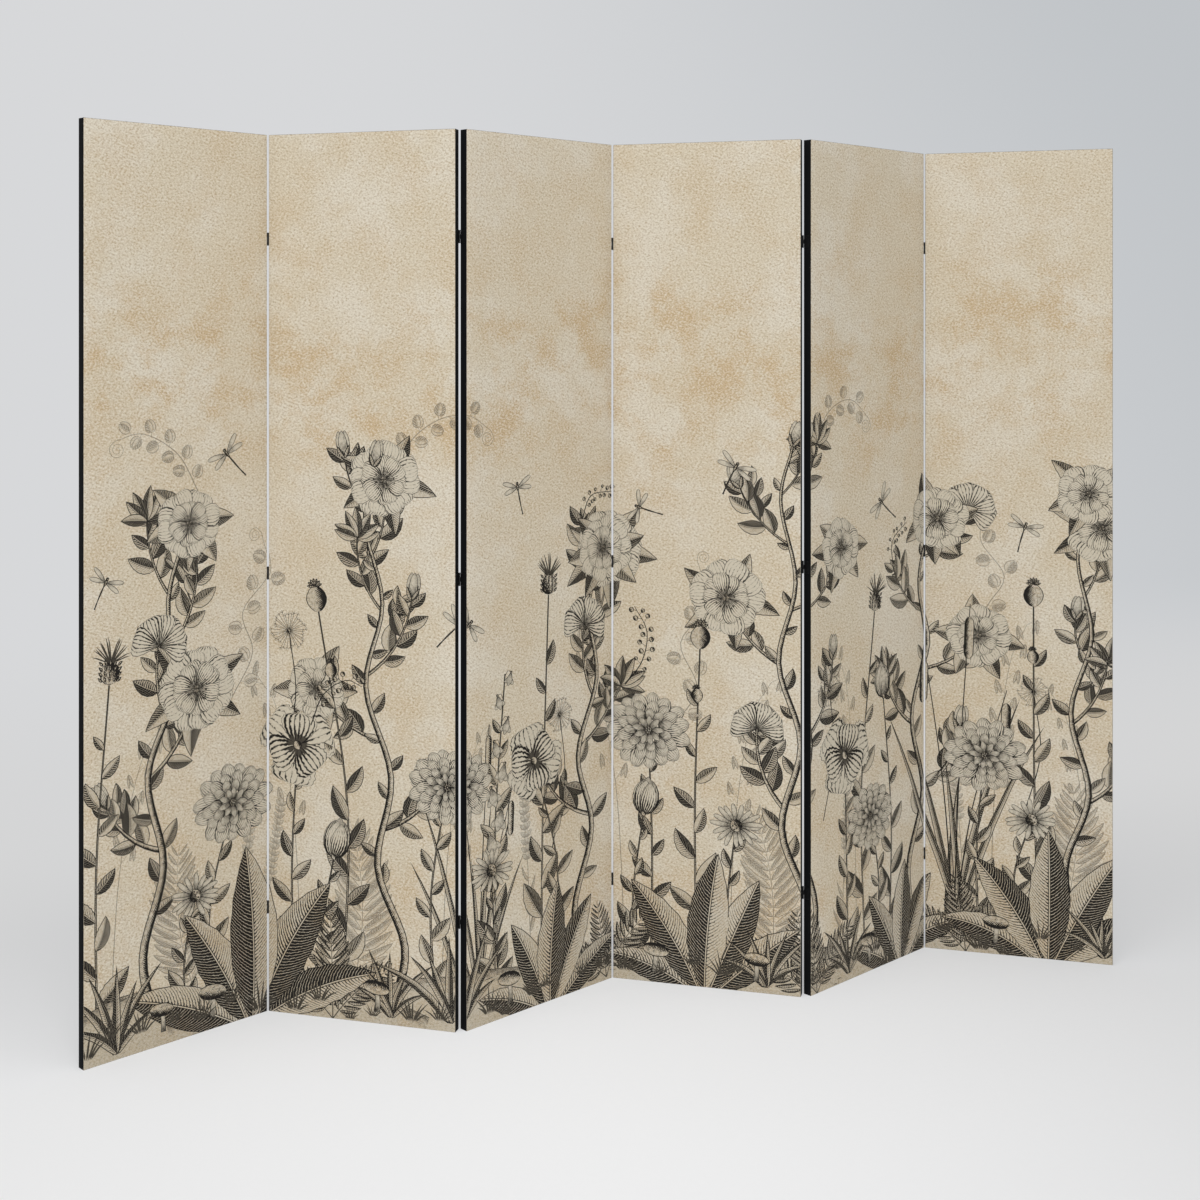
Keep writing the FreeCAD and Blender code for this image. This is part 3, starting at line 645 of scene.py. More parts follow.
def on_line(line, share):
    """The place and the heading in degrees at a share of a line."""
    run = lengths_along(line)
    goal = share * run[-1]
    k = next((k for k in range(1, len(run)) if run[k] >= goal), len(run) - 1)
    first, second = line[k - 1], line[k]
    part = (goal - run[k - 1]) / ((run[k] - run[k - 1]) or 1.0)
    return first + (second - first) * part, math.degrees(cmath.phase(second - first))


def swell(form):
    """The half width of a leaf or petal at a share of its length, as a part of its greatest half width."""
    low, high = form
    top = (low / (low + high)) ** low * (high / (low + high)) ** high
    return lambda share: max(0.0, share) ** low * max(0.0, 1 - share) ** high / top


def by_turns(count, stride=2):
    """Every second number and then the ones between, so that few petals of a ring lie on one another."""
    return [k for first in range(stride) for k in range(first, count, stride)]


def side_of(k):
    """-1 and 1 by turns."""
    return 1 if k % 2 else -1


def dome(share):
    """The half width of a round shape at a share of its length."""
    return math.sqrt(max(0.0, 1 - (2 * share - 1) ** 2))


class Garden:
    """The shapes of the print, each drawn over those before it."""

    def __init__(self, seed):
        self.shapes = []
        self.chance = random.Random(seed)
        self.strength, self.dark = 1.0, 0.0

    def vary(self, amount):
        return self.chance.uniform(-amount, amount)

    def plant(self, grow, *rows):
        """Grows plants of one kind; each row has a plant's place and its other numbers."""
        for x, z, *numbers in rows:
            grow(complex(x, z), *numbers)

    def shape(self, finish, line, half, dark):
        """One inked shape along a line; half gives its half width at a share of the line."""
        run = lengths_along(line)
        halves = [max(THINNEST, half(there / run[-1])) for there in run]
        sides = [(after - before) / abs(after - before) * 1j for before, after in
                 zip([line[0], *line[:-1]], [*line[1:], line[-1]])]
        look = (min(1.0, max(0.0, dark + self.dark)), self.strength, self.chance.random())
        self.shapes.append((finish, line, halves, sides, run, look))

    def leaf(self, start, angle, reach, half, bend=0.0, dark=0.3, form=POINTED, finish=LEAF, wave=0.0, count=8):
        """A leaf, or another shape that swells between its ends; wave is the swing of its rim."""
        profile, beat = swell(form), self.chance.random()
        self.shape(finish, bow(start, angle, reach, bend, WAVY_COUNT if wave else count),
                   lambda share: half * profile(share) * (1 + wave * math.sin(math.tau * (7 * share + beat))), dark)

    def petal(self, start, angle, reach, half, bend, dark, form=OVAL, **more):
        self.leaf(start, angle, reach, half, bend, dark, form, PETAL, **more)

    def stem(self, points, thick, thin, dark=0.5, steps=6, finish=BARK):
        """A stem or branch through the points, from thick to thin; gives its line."""
        line = smooth_line(points, steps)
        self.shape(finish, line, lambda share: (thick + (thin - thick) * share) / 2, dark)
        return line

    def thread(self, points, thick, thin, dark=0.8, steps=1):
        """A fine stem of solid ink."""
        self.stem(points, thick, thin, dark, steps, SOLID)

    def ball(self, centre, radius, dark, finish=BARK):
        """A berry, a bud or the eye of a flower."""
        self.shape(finish, bow(centre - aim(-60, radius), -60, 2 * radius, 0.0, 6), lambda share: radius * dome(share),
                   dark)

    def leaves_along(self, line, first, last, count, reach, half, spread, dark, form=POINTED, taper=0.45, wave=0.0):
        """Leaves by turns along a stem; taper is how much smaller the last one is."""
        for k in range(count):
            part = k / (count - 1)
            place, heading = on_line(line, first + (last - first) * part)
            grown = reach * (1 - taper * part) * (1 + self.vary(0.18))
            shade = self.chance.choice((-0.2, -0.05, 0.12, 0.4))
            side = side_of(k)
            self.leaf(place, heading + side * (spread + self.vary(12)), grown, grown * half,
                      -side * (24 + self.vary(16)), dark + shade, form, wave=wave)

    # flowers

    def dahlia(self, centre, radius, turn):
        """A full head of pointed petals in four rings."""
        for ring in range(4):
            count, reach = 15 - 2 * ring, radius * (1 - 0.82 * ring / 4)
            root = 0.42 if ring < 3 else 0.12
            for k in by_turns(count):
                angle = turn + 360 * (k + 0.5 * (ring % 2)) / count + self.vary(4)
                squash = 1 - 0.12 * math.sin(math.radians(angle)) ** 2
                self.petal(centre + aim(angle, reach * root * squash), angle,
                           reach * (1 - root) * squash * (1 + self.vary(0.06)), reach * 0.2, self.vary(14),
                           0.22 + 0.05 * ring, FULL, count=6)
        for k in range(7):
            self.ball(centre + aim(k * 51 + turn, radius * 0.06 * (k > 0)), radius * 0.035, 0.7)

    def rosette(self, centre, radius, turn, petals):
        """An open flower of broad notched petals round a crown of threads."""
        for ring, share, root in ((0, 1.0, 0.24), (1, 0.66, 0.1)):
            for k in by_turns(2 * petals, 3):
                angle = turn + 360 * (k // 2 + 0.5 * ring) / petals + side_of(k) * 13 + self.vary(4)
                reach = radius * share * (1 + self.vary(0.06))
                self.petal(centre + aim(angle, reach * root), angle, reach * (1 - root), reach * 0.34,
                           side_of(k) * 18, 0.04 + 0.12 * ring, CREASED)
        for k in range(13):
            angle = turn + k * 360 / 13 + self.vary(8)
            tip = centre + aim(angle, radius * 0.27 * (1 + self.vary(0.2)))
            self.thread([centre, (centre + tip) / 2 + aim(angle + 90, radius * 0.02), tip], 0.7, 0.6, 0.9, 2)
            self.ball(tip, radius * 0.026, 1.0, SOLID)

    def daisy(self, centre, radius, turn):
        """A ray flower, its face turned a little up."""
        eye = radius * 0.25
        for k in by_turns(17):
            step = aim(turn + 360 * k / 17 + self.vary(5))
            step = complex(step.real, step.imag * 0.8)
            reach = abs(step) * radius * (1 + self.vary(0.08))
            self.petal(centre + step * radius * 0.2, math.degrees(cmath.phase(step)), reach * 0.8, radius * 0.1,
                       self.vary(18), 0.08, RAY, count=6)
        self.ball(centre, eye * 0.95, 0.75)
        for k in range(9):
            self.ball(centre + aim(k * GOLDEN, eye * 0.26 * math.sqrt(k)), radius * 0.035, 1.0, SOLID)

    def poppy(self, centre, radius, turn):
        """Broad creased petals with a dark heart."""
        for ring, reach in ((0, radius), (1, radius * 0.8)):
            for k in range(3):
                self.petal(centre, turn + 120 * k + 60 * ring + self.vary(8), reach, reach * 0.62, self.vary(10),
                           0.12 + 0.2 * ring, BLUNT, wave=0.045)
        for k in range(18):
            self.leaf(centre, turn + 20 * k + self.vary(5), radius * 0.33, radius * 0.03, self.vary(20), 1.0, BROAD,
                      SOLID, count=3)
        self.ball(centre, radius * 0.12, 0.45)

    def pod(self, place, heading, size):
        """A ripe seed pod with its flat cap."""
        self.shape(BARK, bow(place, heading, size),
                   lambda share: size * (0.1 + 0.34 * math.sin(math.pi * min(1.0, share * 1.02)) ** 0.7), 0.4)
        for k in range(-3, 4):
            self.leaf(place + aim(heading, size * 0.96), heading + 26 * k, size * 0.33, size * 0.07, 0.0, 0.7, OVAL,
                      count=4)

    def tulip(self, place, heading, size):
        """A closed cup of five petals."""
        for spread, grown, dark in ((-20, 0.92, 0.4), (20, 0.92, 0.45), (0, 0.98, 0.3), (-9, 0.88, 0.1),
                                    (12, 0.84, 0.18)):
            self.petal(place, heading - spread * 1.4, size * grown, size * 0.23, spread * 2.2, dark, CUP)
        self.ball(place, size * 0.07, 0.5)

    def bell(self, place, heading, size):
        """A hanging bell with a frilled mouth."""
        for side in (-1, 1, 0):
            self.petal(place + aim(heading, size * 0.4), heading + side * 34, size * 0.62, size * 0.19, side * 30, 0.25)
        self.petal(place, heading, size * 0.82, size * 0.27, 0.0, 0.2, BLUNT)
        self.ball(place, size * 0.1, 0.7)

    def thistle(self, place, heading, size):
        """A spiny ball with its brush of threads."""
        for k in range(-8, 9):
            self.leaf(place + aim(heading, size * 0.62), heading + 7.5 * k, size * (0.85 - 0.02 * abs(k)),
                      size * 0.022, self.vary(25), 0.9, OVAL, SOLID, count=3)
        self.ball(place + aim(heading, size * 0.35), size * 0.34, 0.6)
        for row in range(4):
            for k in range(-2, 3):
                root = place + aim(heading, size * (0.1 + 0.16 * row)) + aim(heading - 90, size * 0.12 * k)
                self.leaf(root, heading - 24 * k, size * 0.2, size * 0.05, 0.0, 0.55, count=4)

    def clock(self, centre, radius):
        """A seed head of fine rays, each with its own star."""
        for k in range(34):
            angle = k * GOLDEN
            tip = centre + aim(angle, radius * (0.72 + 0.28 * ((k * 7) % 10) / 10))
            self.thread([centre, (centre + tip) / 2, tip], 0.75, 0.65)
            for side in (-50, 0, 50):
                self.thread([tip, tip + aim(angle + side, radius * 0.13)], 0.7, 0.6)
        self.ball(centre, radius * 0.12, 0.8)

    # plants

    def fern(self, place, angle, reach, bend, dark, pairs=15):
        """A feathered frond."""
        rib = bow(place, angle, reach, bend, 14)
        for k in by_turns(pairs):
            share = 0.12 + 0.86 * k / pairs
            there, heading = on_line(rib, share)
            grown = reach * 0.26 * math.sin(math.pi * (0.18 + 0.8 * share)) ** 0.8
            for side in (-1, 1):
                angle = heading + side * (64 - 18 * share)
                self.leaf(there + aim(angle, 1.6), angle, grown * (1 + self.vary(0.08)), grown * 0.105, -side * 22,
                          dark, PINNA, count=5)
        self.shape(SOLID, rib, lambda share: 1.1 - 0.8 * share, 0.9)

    def hosta(self, place, size, dark):
        """A clump of large veined leaves."""
        for angle in (142, 112, 42, 70, 90):
            away = (angle - 90) / 60
            reach = size * (0.74 + 0.26 * (1 - abs(away))) * (1 + self.vary(0.08))
            self.leaf(place - away * size * 0.1, angle + self.vary(5), reach, reach * 0.15,
                      away * 30 + self.vary(16), dark + self.vary(0.16), SPOON, BROAD_LEAF, wave=0.04)

    def blades(self, place, size, count=7, spread=62, dark=0.55, width=0.045):
        """Long narrow leaves from one root."""
        for k in range(count):
            away = spread * (2 * k / (count - 1) - 1) * (1 + self.vary(0.1))
            self.leaf(place + self.vary(size * 0.03), 90 + away * 0.55, size * (0.75 + self.vary(0.25)), size * width,
                      away * 0.75, dark, BLADE)

    def tuft(self, place, size, count):
        """A tuft of black grass."""
        for k in range(count):
            away = 2 * k / (count - 1) - 1
            self.leaf(place + away * size * 0.16, 90 - away * 34 + self.vary(6),
                      size * (0.95 - 0.35 * abs(away) + self.vary(0.15)), size * 0.035, -away * 38, 1.0, GRASS,
                      SOLID, count=4)

    def oats(self, place, height, lean):
        """A nodding stalk of oats."""
        line = self.stem([place, place + complex(lean * 0.3, height * 0.5), place + complex(lean, height * 0.86),
                          place + complex(lean * 1.9, height)], 1.9, 0.9)
        for k in range(11):
            there, heading = on_line(line, 0.52 + 0.048 * k)
            tip = there + aim(heading + side_of(k) * 38, height * (0.07 - 0.003 * k))
            self.thread([there, (there + tip) / 2 + 1.5j, tip], 0.8, 0.6, steps=2)
            for apart in (-9, 9):
                self.leaf(tip, -90 + side_of(k) * 12 + apart, height * 0.05, height * 0.007, 0.0, 0.35, OVAL, count=4)

    def lavender(self, place, height, lean):
        """A spike of small florets over narrow leaves."""
        line = self.stem([place, place + complex(lean * 0.4, height * 0.55), place + complex(lean, height)], 2.0, 1.2)
        self.leaves_along(line, 0.05, 0.45, 6, height * 0.16, 0.09, 34, 0.4, LONG)
        for k in range(13):
            there, heading = on_line(line, 0.55 + 0.035 * k)
            for side in (-1, 0, 1):
                self.petal(there, heading + side * 46 + self.vary(8), height * 0.045, height * 0.012, 0.0,
                           0.35 + 0.2 * abs(side), count=4)

    def cattails(self, place, height):
        """Reeds with their clubs."""
        self.blades(place, height * 0.8, 6, 26, 0.45, 0.014)
        for lean, grown in ((-0.09, 0.86), (0.05, 1.0), (0.16, 0.74)):
            tip = place + complex(lean * height, grown * height)
            self.stem([place, place + complex(lean * height * 0.35, grown * height * 0.5), tip], 3.0, 1.6)
            self.shape(BARK, bow(tip - aim(88, height * 0.17), 88, height * 0.13, 0.0, 12),
                       lambda share: height * 0.015 * min(1.0, 1.6 * dome(share)), 0.4)

    def berries(self, points, count, radius):
        """A twig of berries on short stalks."""
        line = self.stem(points, 2.4, 1.2)
        for k in range(count):
            there, heading = on_line(line, 0.25 + 0.75 * k / count)
            tip = there + aim(heading + side_of(k) * 62 + self.vary(15), radius * (2.6 + self.vary(0.7)))
            self.thread([there, tip], 0.9, 0.8)
            self.ball(tip, radius * (1 + self.vary(0.15)), 0.55)

    def vine(self, points, leaf_size, count, curl, turn):
        """A climbing tendril with heart-shaped leaves and a curl at its end."""
        line = self.stem(points, 2.2, 1.1, 0.6)
        end, heading = on_line(line, 1.0)
        centre = end + aim(heading + 90 * turn, curl)
        curled = [centre + aim(heading - 90 * turn + turn * 62 * k, curl * (1 - k / 15)) for k in range(14)]
        self.shape(SOLID, smooth_line(curled, 4), lambda share: 0.6 - 0.2 * share, 0.9)
        for k in range(count):
            there, heading = on_line(line, 0.1 + 0.84 * k / count)
            root = there + aim(heading + side_of(k) * 70, leaf_size * 0.3)
            self.thread([there, root], 0.9, 0.9)
            for half in (-1, 1):
                self.leaf(root, heading + side_of(k) * 52 + half * 24, leaf_size, leaf_size * 0.34, -half * 40, 0.32,
                          HEART, count=7)

    def dragonfly(self, centre, size, angle):
        """A dragonfly with spread wings."""
        for side in (-1, 1):
            for away, reach in ((62, 0.62), (96, 0.56)):
                self.petal(centre + aim(angle, size * 0.1), angle + side * away, size * reach, size * 0.075,
                           side * 8, 0.0, WING, count=7)
        self.shape(BARK, bow(centre + aim(angle, size * 0.2), angle + 180, size * 0.95, 8, 12),
                   lambda share: size * (0.045 if share < 0.25 else 0.02 + 0.006 * math.sin(share * 40)), 0.75)
        self.ball(centre + aim(angle, size * 0.23), size * 0.052, 0.9)

    def toadstool(self, place, size):
        """A spotted cap on a pale foot."""
        top = place + complex(self.vary(5), size)
        self.shape(PETAL, smooth_line([place, (place + top) / 2 + 1.5, top], 3),
                   lambda share: size * (0.13 - 0.04 * share), 0.12)
        self.shape(BARK, [top + aim(-8, size * 0.62) * (k / 5 - 1) for k in range(11)],
                   lambda share: size * 0.3 * dome(share), 0.45)
        for away, up in ((-0.3, 0.02), (0.02, 0.12), (0.27, -0.03), (-0.08, -0.08)):
            self.ball(top + complex(away * size, up * size), size * 0.05, 0.0, PETAL)

    def mound(self, deep, dark, points):
        """A rise of the ground, hatched under its brow, with a fringe of grass."""
        line = smooth_line(points, 8)
        self.shape(GROUND, [there - 1j * deep / 2 for there in line], lambda share: deep / 2, dark)
        chance = self.chance
        for _ in range(int(lengths_along(line)[-1] / 11)):
            there = on_line(line, chance.random())[0]
            if chance.random() < 0.55:
                self.tuft(there - 1j * chance.uniform(1, 9), chance.uniform(7, 15), 4)
            else:
                self.leaf(there - 6 - 1j * chance.uniform(8, deep * 0.55), self.vary(6), chance.uniform(8, 22), 1.0,
                          0.0, 1.0, OVAL, SOLID, count=4)

    def tree(self, points, thick, thin, boughs, leaf_size, bloom):
        """A slender winding tree: its boughs leave at shares of the trunk, fork, and end in blooms and leaves."""
        heads = []
        trunk = smooth_line(points)
        for share, away, reach, bend, head in boughs:
            there, heading = on_line(trunk, share)
            bough = bow(there, heading + away, reach, bend, 9)
            girth = thick + (thin - thick) * share
            fork, fork_heading = on_line(bough, 0.5)
            twig = bow(fork, fork_heading - math.copysign(46, away), reach * 0.48, math.copysign(40, away), 6)
            self.shape(BARK, twig, lambda part: girth * (0.18 - 0.08 * part), 0.5)
            self.leaves_along(twig, 0.35, 1.0, 5, leaf_size * 0.85, 0.23, 46, 0.5, taper=0.2)
            self.leaves_along(bough, 0.25, 0.94, max(4, int(reach / 23)), leaf_size, 0.25, 50, 0.5, taper=0.2)
            self.shape(BARK, bough, lambda part: girth * (0.36 - 0.2 * part), 0.5)
            heads.append((*on_line(bough, 1.0), head))
        self.leaves_along(trunk, 0.24, 0.97, int(lengths_along(trunk)[-1] / 70), leaf_size * 0.95, 0.24, 58, 0.5)
        self.stem(points, thick, thin)
        for place, heading, head in (*heads, (*on_line(trunk, 1.0), bloom)):
            self.head(place, heading, head, leaf_size)

    def head(self, place, heading, head, size):
        """What a bough ends in."""
        if head == "rosette":
            grown = size * (1.2 + self.vary(0.16))
            for k in range(5):
                self.leaf(place, heading + 180 + 62 * (k - 2) + self.vary(10), grown * (1.5 + self.vary(0.14)),
                          size * 0.36, self.vary(25), 0.45 + self.vary(0.2), wave=0.03)
            self.rosette(place, grown, self.vary(30), self.chance.choice((5, 5, 6)))
        elif head == "bud":
            for side in (-1, 1, 0):
                self.petal(place, heading + side * 14, size * 0.95, size * 0.17, -side * 14, 0.2)
            for side in (-1, 1):
                self.leaf(place, heading + side * 38, size * 0.5, size * 0.09, -side * 22, 0.6)
        elif head == "fans":
            for k in range(-2, 3):
                self.petal(place, heading + 44 * k, size * 0.95, size * 0.46, self.vary(14), 0.25, FAN)
        elif head == "leaves":
            for k in range(-3, 4):
                self.leaf(place, heading + 27 * k, size * (1.1 - 0.07 * abs(k)), size * 0.2, self.vary(25), 0.5)
        elif head == "berries":
            self.berries([place, place + aim(heading - 20, size * 0.9), place + aim(heading - 50, size * 1.7)], 12, 4.2)

    def stalk(self, x, height, lean, kind, size):
        """A leafy stalk of the beds with its flower."""
        foot, tip = complex(x, NEAR), complex(x + lean, NEAR + height)
        line = self.stem([foot, (foot + tip) / 2 - lean * 0.8 + self.vary(12), tip], 5.4, 3.2, 0.4, 8)
        _, heading = on_line(line, 1.0)
        self.leaves_along(line, 0.1, 0.82, 5 + int(height / 110), height * 0.05 + 44, 0.22, 46, 0.48,
                          wave=0.05 if kind in ("dahlia", "thistle") else 0.0)
        if kind in ("dahlia", "daisy", "poppy"):
            getattr(self, kind)(tip, size, self.vary(40 if kind == "poppy" else 20))
        elif kind in ("tulip", "thistle"):
            getattr(self, kind)(tip, heading, size)
        elif kind == "pod":
            self.pod(tip, heading, size)
            self.pod(on_line(line, 0.8)[0] + 20j, 95, size * 0.6)
        elif kind == "bells":
            for k in range(8):
                there, heading = on_line(line, 0.5 + 0.07 * k)
                side = side_of(k)
                root = there + aim(heading - side * 60, size * 0.4)
                self.thread([there, there + aim(heading - side * 30, size * 0.3), root], 1.2, 1.1, steps=2)
                self.bell(root, -90 - side * 18, size * (1 - 0.06 * k))


# tendrils: points, size and number of the leaves, size and turn of the curl
VINES = (
    (((306, 620), (352, 700), (330, 780), (388, 850), (372, 930)), 30, 8, 15, 1),
    (((1280, 520), (1330, 600), (1296, 690), (1352, 770), (1330, 860)), 30, 8, 14, -1),
    (((2096, 640), (2050, 720), (2090, 800), (2040, 880), (2066, 960)), 30, 8, 14, 1),
    (((232, 1020), (190, 1090), (120, 1130), (62, 1120)), 26, 9, 17, 1),
    (((640, 1060), (700, 1130), (770, 1160), (830, 1130)), 26, 9, 17, -1),
    (((1540, 1090), (1600, 1160), (1670, 1180), (1730, 1140)), 26, 9, 17, -1))

# trees: points, thick, thin, boughs (share of the trunk, angle, reach, bend, what it ends in), leaf size, bloom
TREES = (
    (((150, 20), (118, 170), (160, 330), (128, 500), (186, 660), (170, 820), (214, 960)), 20, 8,
     ((0.36, 62, 150, -50, "bud"), (0.5, -58, 190, 46, "rosette"), (0.62, 52, 140, -40, "fans"),
      (0.76, -50, 170, 44, "bud"), (0.86, 46, 150, -38, "leaves")), 60, "rosette"),
    (((640, 20), (668, 150), (612, 300), (640, 470), (588, 640), (622, 800), (586, 950), (604, 1060)), 18, 6,
     ((0.34, -60, 150, 50, "fans"), (0.5, 56, 170, -46, "rosette"), (0.62, -54, 180, 50, "bud"),
      (0.74, 50, 150, -48, "leaves"), (0.84, -48, 150, 40, "rosette"), (0.92, 44, 110, -30, "bud")), 56, "bud"),
    (((1090, 20), (1050, 160), (1098, 320), (1060, 470), (1112, 620), (1090, 760), (1130, 880)), 18, 8,
     ((0.38, 60, 170, -48, "bud"), (0.54, -56, 160, 44, "leaves"), (0.66, 54, 150, -46, "fans"),
      (0.8, -50, 180, 44, "rosette"), (0.9, 46, 150, -40, "berries")), 60, "rosette"),
    (((1520, 20), (1556, 170), (1502, 330), (1540, 500), (1496, 660), (1530, 820), (1500, 980), (1524, 1090)), 18, 6,
     ((0.33, 58, 170, -50, "fans"), (0.47, -60, 160, 50, "bud"), (0.6, 54, 170, -44, "rosette"),
      (0.7, -52, 170, 48, "rosette"), (0.82, 48, 150, -40, "bud"), (0.91, -44, 120, 34, "leaves")), 56, "bud"),
    (((1900, 20), (1868, 180), (1920, 340), (1880, 500), (1930, 650), (1906, 790), (1950, 920)), 19, 8,
     ((0.36, -62, 150, 50, "bud"), (0.52, 58, 150, -48, "leaves"), (0.64, -54, 150, 42, "rosette"),
      (0.78, 52, 150, -46, "berries"), (0.9, -48, 150, 42, "fans")), 60, "rosette"),
    (((2250, 20), (2214, 190), (2262, 350), (2226, 520), (2268, 680), (2240, 840), (2262, 980)), 17, 6,
     ((0.33, -54, 130, 48, "bud"), (0.5, -56, 150, 44, "leaves"), (0.64, 54, 90, -46, "bud"),
      (0.78, -48, 150, 40, "rosette"), (0.9, -40, 100, 34, "bud")), 54, "rosette"))

# stalks of the beds: place, height, lean, flower and its size
STALKS = (
    (26, 640, 24, "thistle", 60), (262, 380, 46, "dahlia", 86), (205, 220, 22, "daisy", 52),
    (440, 480, 6, "poppy", 76), (500, 270, 22, "tulip", 80), (540, 740, -50, "pod", 50),
    (730, 420, 24, "dahlia", 80), (850, 620, 16, "bells", 46), (842, 250, -10, "daisy", 54),
    (960, 760, 20, "thistle", 58), (985, 440, -44, "poppy", 72), (1195, 300, 24, "tulip", 78),
    (1235, 470, -6, "dahlia", 88), (1330, 640, 6, "pod", 48), (1390, 290, 20, "daisy", 54),
    (1660, 420, -10, "poppy", 78), (1716, 700, 34, "thistle", 56), (1752, 280, -16, "dahlia", 78),
    (1800, 520, -20, "tulip", 76), (2036, 380, 14, "dahlia", 88), (2124, 250, 22, "daisy", 54),
    (2160, 700, -10, "pod", 48))

# rises of the ground: depth, darkness and points
MOUNDS = (
    (140, 0.16, ((-60, 70), (80, 112), (220, 80), (330, 50))),
    (140, 0.16, ((560, 54), (760, 104), (930, 80), (1010, 46))),
    (140, 0.16, ((1240, 50), (1420, 104), (1600, 82), (1700, 46))),
    (140, 0.16, ((1880, 50), (2080, 106), (2240, 86), (2370, 70))),
    (120, 0.26, ((180, 36), (380, 82), (560, 68), (700, 26))),
    (120, 0.26, ((880, 34), (1080, 82), (1240, 72), (1380, 26))),
    (120, 0.26, ((1560, 32), (1760, 82), (1920, 68), (2050, 28))))


def plant_garden():
    """The whole print, from the far plants to the near ones."""
    garden = Garden(SEED)
    # far plants, printed faintly
    garden.strength, garden.dark = 0.52, -0.08
    garden.plant(garden.oats, (52, FAR, 540, 60), (455, FAR, 600, -50), (742, FAR, 500, 36), (1180, FAR, 640, -60),
                 (1395, FAR, 560, 45), (1690, FAR, 600, -30), (2060, FAR, 640, 40), (2262, FAR, 500, -40))
    garden.plant(garden.lavender, (330, FAR, 400, 22), (372, FAR, 350, 40), (935, FAR, 420, -26),
                 (1640, FAR, 380, 22), (2010, FAR, 400, -36))
    garden.plant(garden.fern, (230, 70, 112, 300, -30, 0.4), (560, FAR, 74, 330, 34, 0.4),
                 (1480, FAR, 82, 320, 30, 0.4), (2200, FAR, 70, 320, 30, 0.4))
    for vine in VINES:
        garden.vine(*vine)

    garden.strength, garden.dark = 1.0, 0.0
    for tree in TREES:
        garden.tree(*tree)

    # flowers between the trees, the tall ones first
    for x, z, radius in ((428, 740, 38), (1010, 560, 34), (1600, 600, 36), (2150, 560, 32)):
        garden.stem([(x - 20, z - 260), (x + 14, z - 130), (x, z)], 2.2, 1.8, 0.6)
        garden.clock(complex(x, z), radius)
    garden.plant(garden.cattails, (800, 50, 520), (1985, 50, 690))
    for stalk in sorted(STALKS, key=lambda stalk: -stalk[1]):
        garden.stalk(*stalk)
    garden.plant(garden.dragonfly, (300, 1080, 70, 130), (770, 760, 70, 40), (900, 1010, 64, 100),
                 (1405, 1040, 70, 60), (1780, 960, 72, 140), (2130, 900, 64, 70), (1216, 960, 60, 160),
                 (40, 860, 60, 60))
    garden.berries([(474, 560), (500, 620), (546, 650), (580, 640)], 14, 5)
    garden.berries([(1180, 600), (1216, 650), (1226, 710), (1200, 760)], 14, 5)

    # the near ground
    for mound in MOUNDS:
        garden.mound(*mound)
    for x, z, size in ((520, 0, 190), (1140, 6, 170), (1560, 0, 180), (2010, 0, 170)):
        for angle in (132, 98, 62):
            garden.fern(complex(x, z), angle + garden.vary(8), size * (1 + garden.vary(0.12)), (angle - 95) * 0.9,
                        0.6, 12)
    garden.plant(garden.hosta, (352, -10, 320, 0.66), (985, -14, 240, 0.62), (1345, -10, 270, 0.6),
                 (1840, -14, 230, 0.66), (2180, -10, 280, 0.58))
    garden.plant(garden.blades, (60, 10, 190), (640, 14, 150), (760, 16, 190), (1470, 12, 150), (1660, 14, 160),
                 (2290, 12, 150))
    garden.plant(garden.toadstool, (160, 24, 42), (262, 20, 50), (612, 22, 46), (880, 24, 48), (1240, 20, 46),
                 (1450, 22, 44), (1730, 20, 46), (2070, 22, 46))
    for k in range(38):
        garden.tuft(complex(k * 62 + garden.vary(22), garden.chance.uniform(-2, 44)), garden.chance.uniform(26, 66), 8)
    return garden.shapes


def layer_shapes(shapes):
    """How many layers of ink lie under each shape: one more than the most that it crosses.

    Shapes of solid ink look the same wherever they cross, so they share a layer.
    """
    covered, levels = {}, []
    for finish, line, halves, sides, _, _ in shapes:
        cells = set()
        for (a, wide_a, side_a), (b, wide_b, side_b) in pairwise(zip(line, halves, sides)):
            steps = 1 + int(abs(b - a) / INK_CELL)
            wide_steps = 1 + int(max(wide_a, wide_b) / INK_STEP)
            for k in range(steps + 1):
                share = k / steps
                place = a + (b - a) * share
                side = (side_a + (side_b - side_a) * share) * (wide_a + (wide_b - wide_a) * share)
                for across in range(-wide_steps, wide_steps + 1):
                    point = place + side * across / wide_steps
                    cells.add((int(point.real // INK_CELL), int(point.imag // INK_CELL)))
        solid = finish == SOLID
        level = 1
        for cell in cells:
            under, solid_under = covered.get(cell, (0, False))
            level = max(level, under if solid and solid_under else under + 1)
        covered.update(dict.fromkeys(cells, (level, solid)))
        levels.append(level)
    return levels


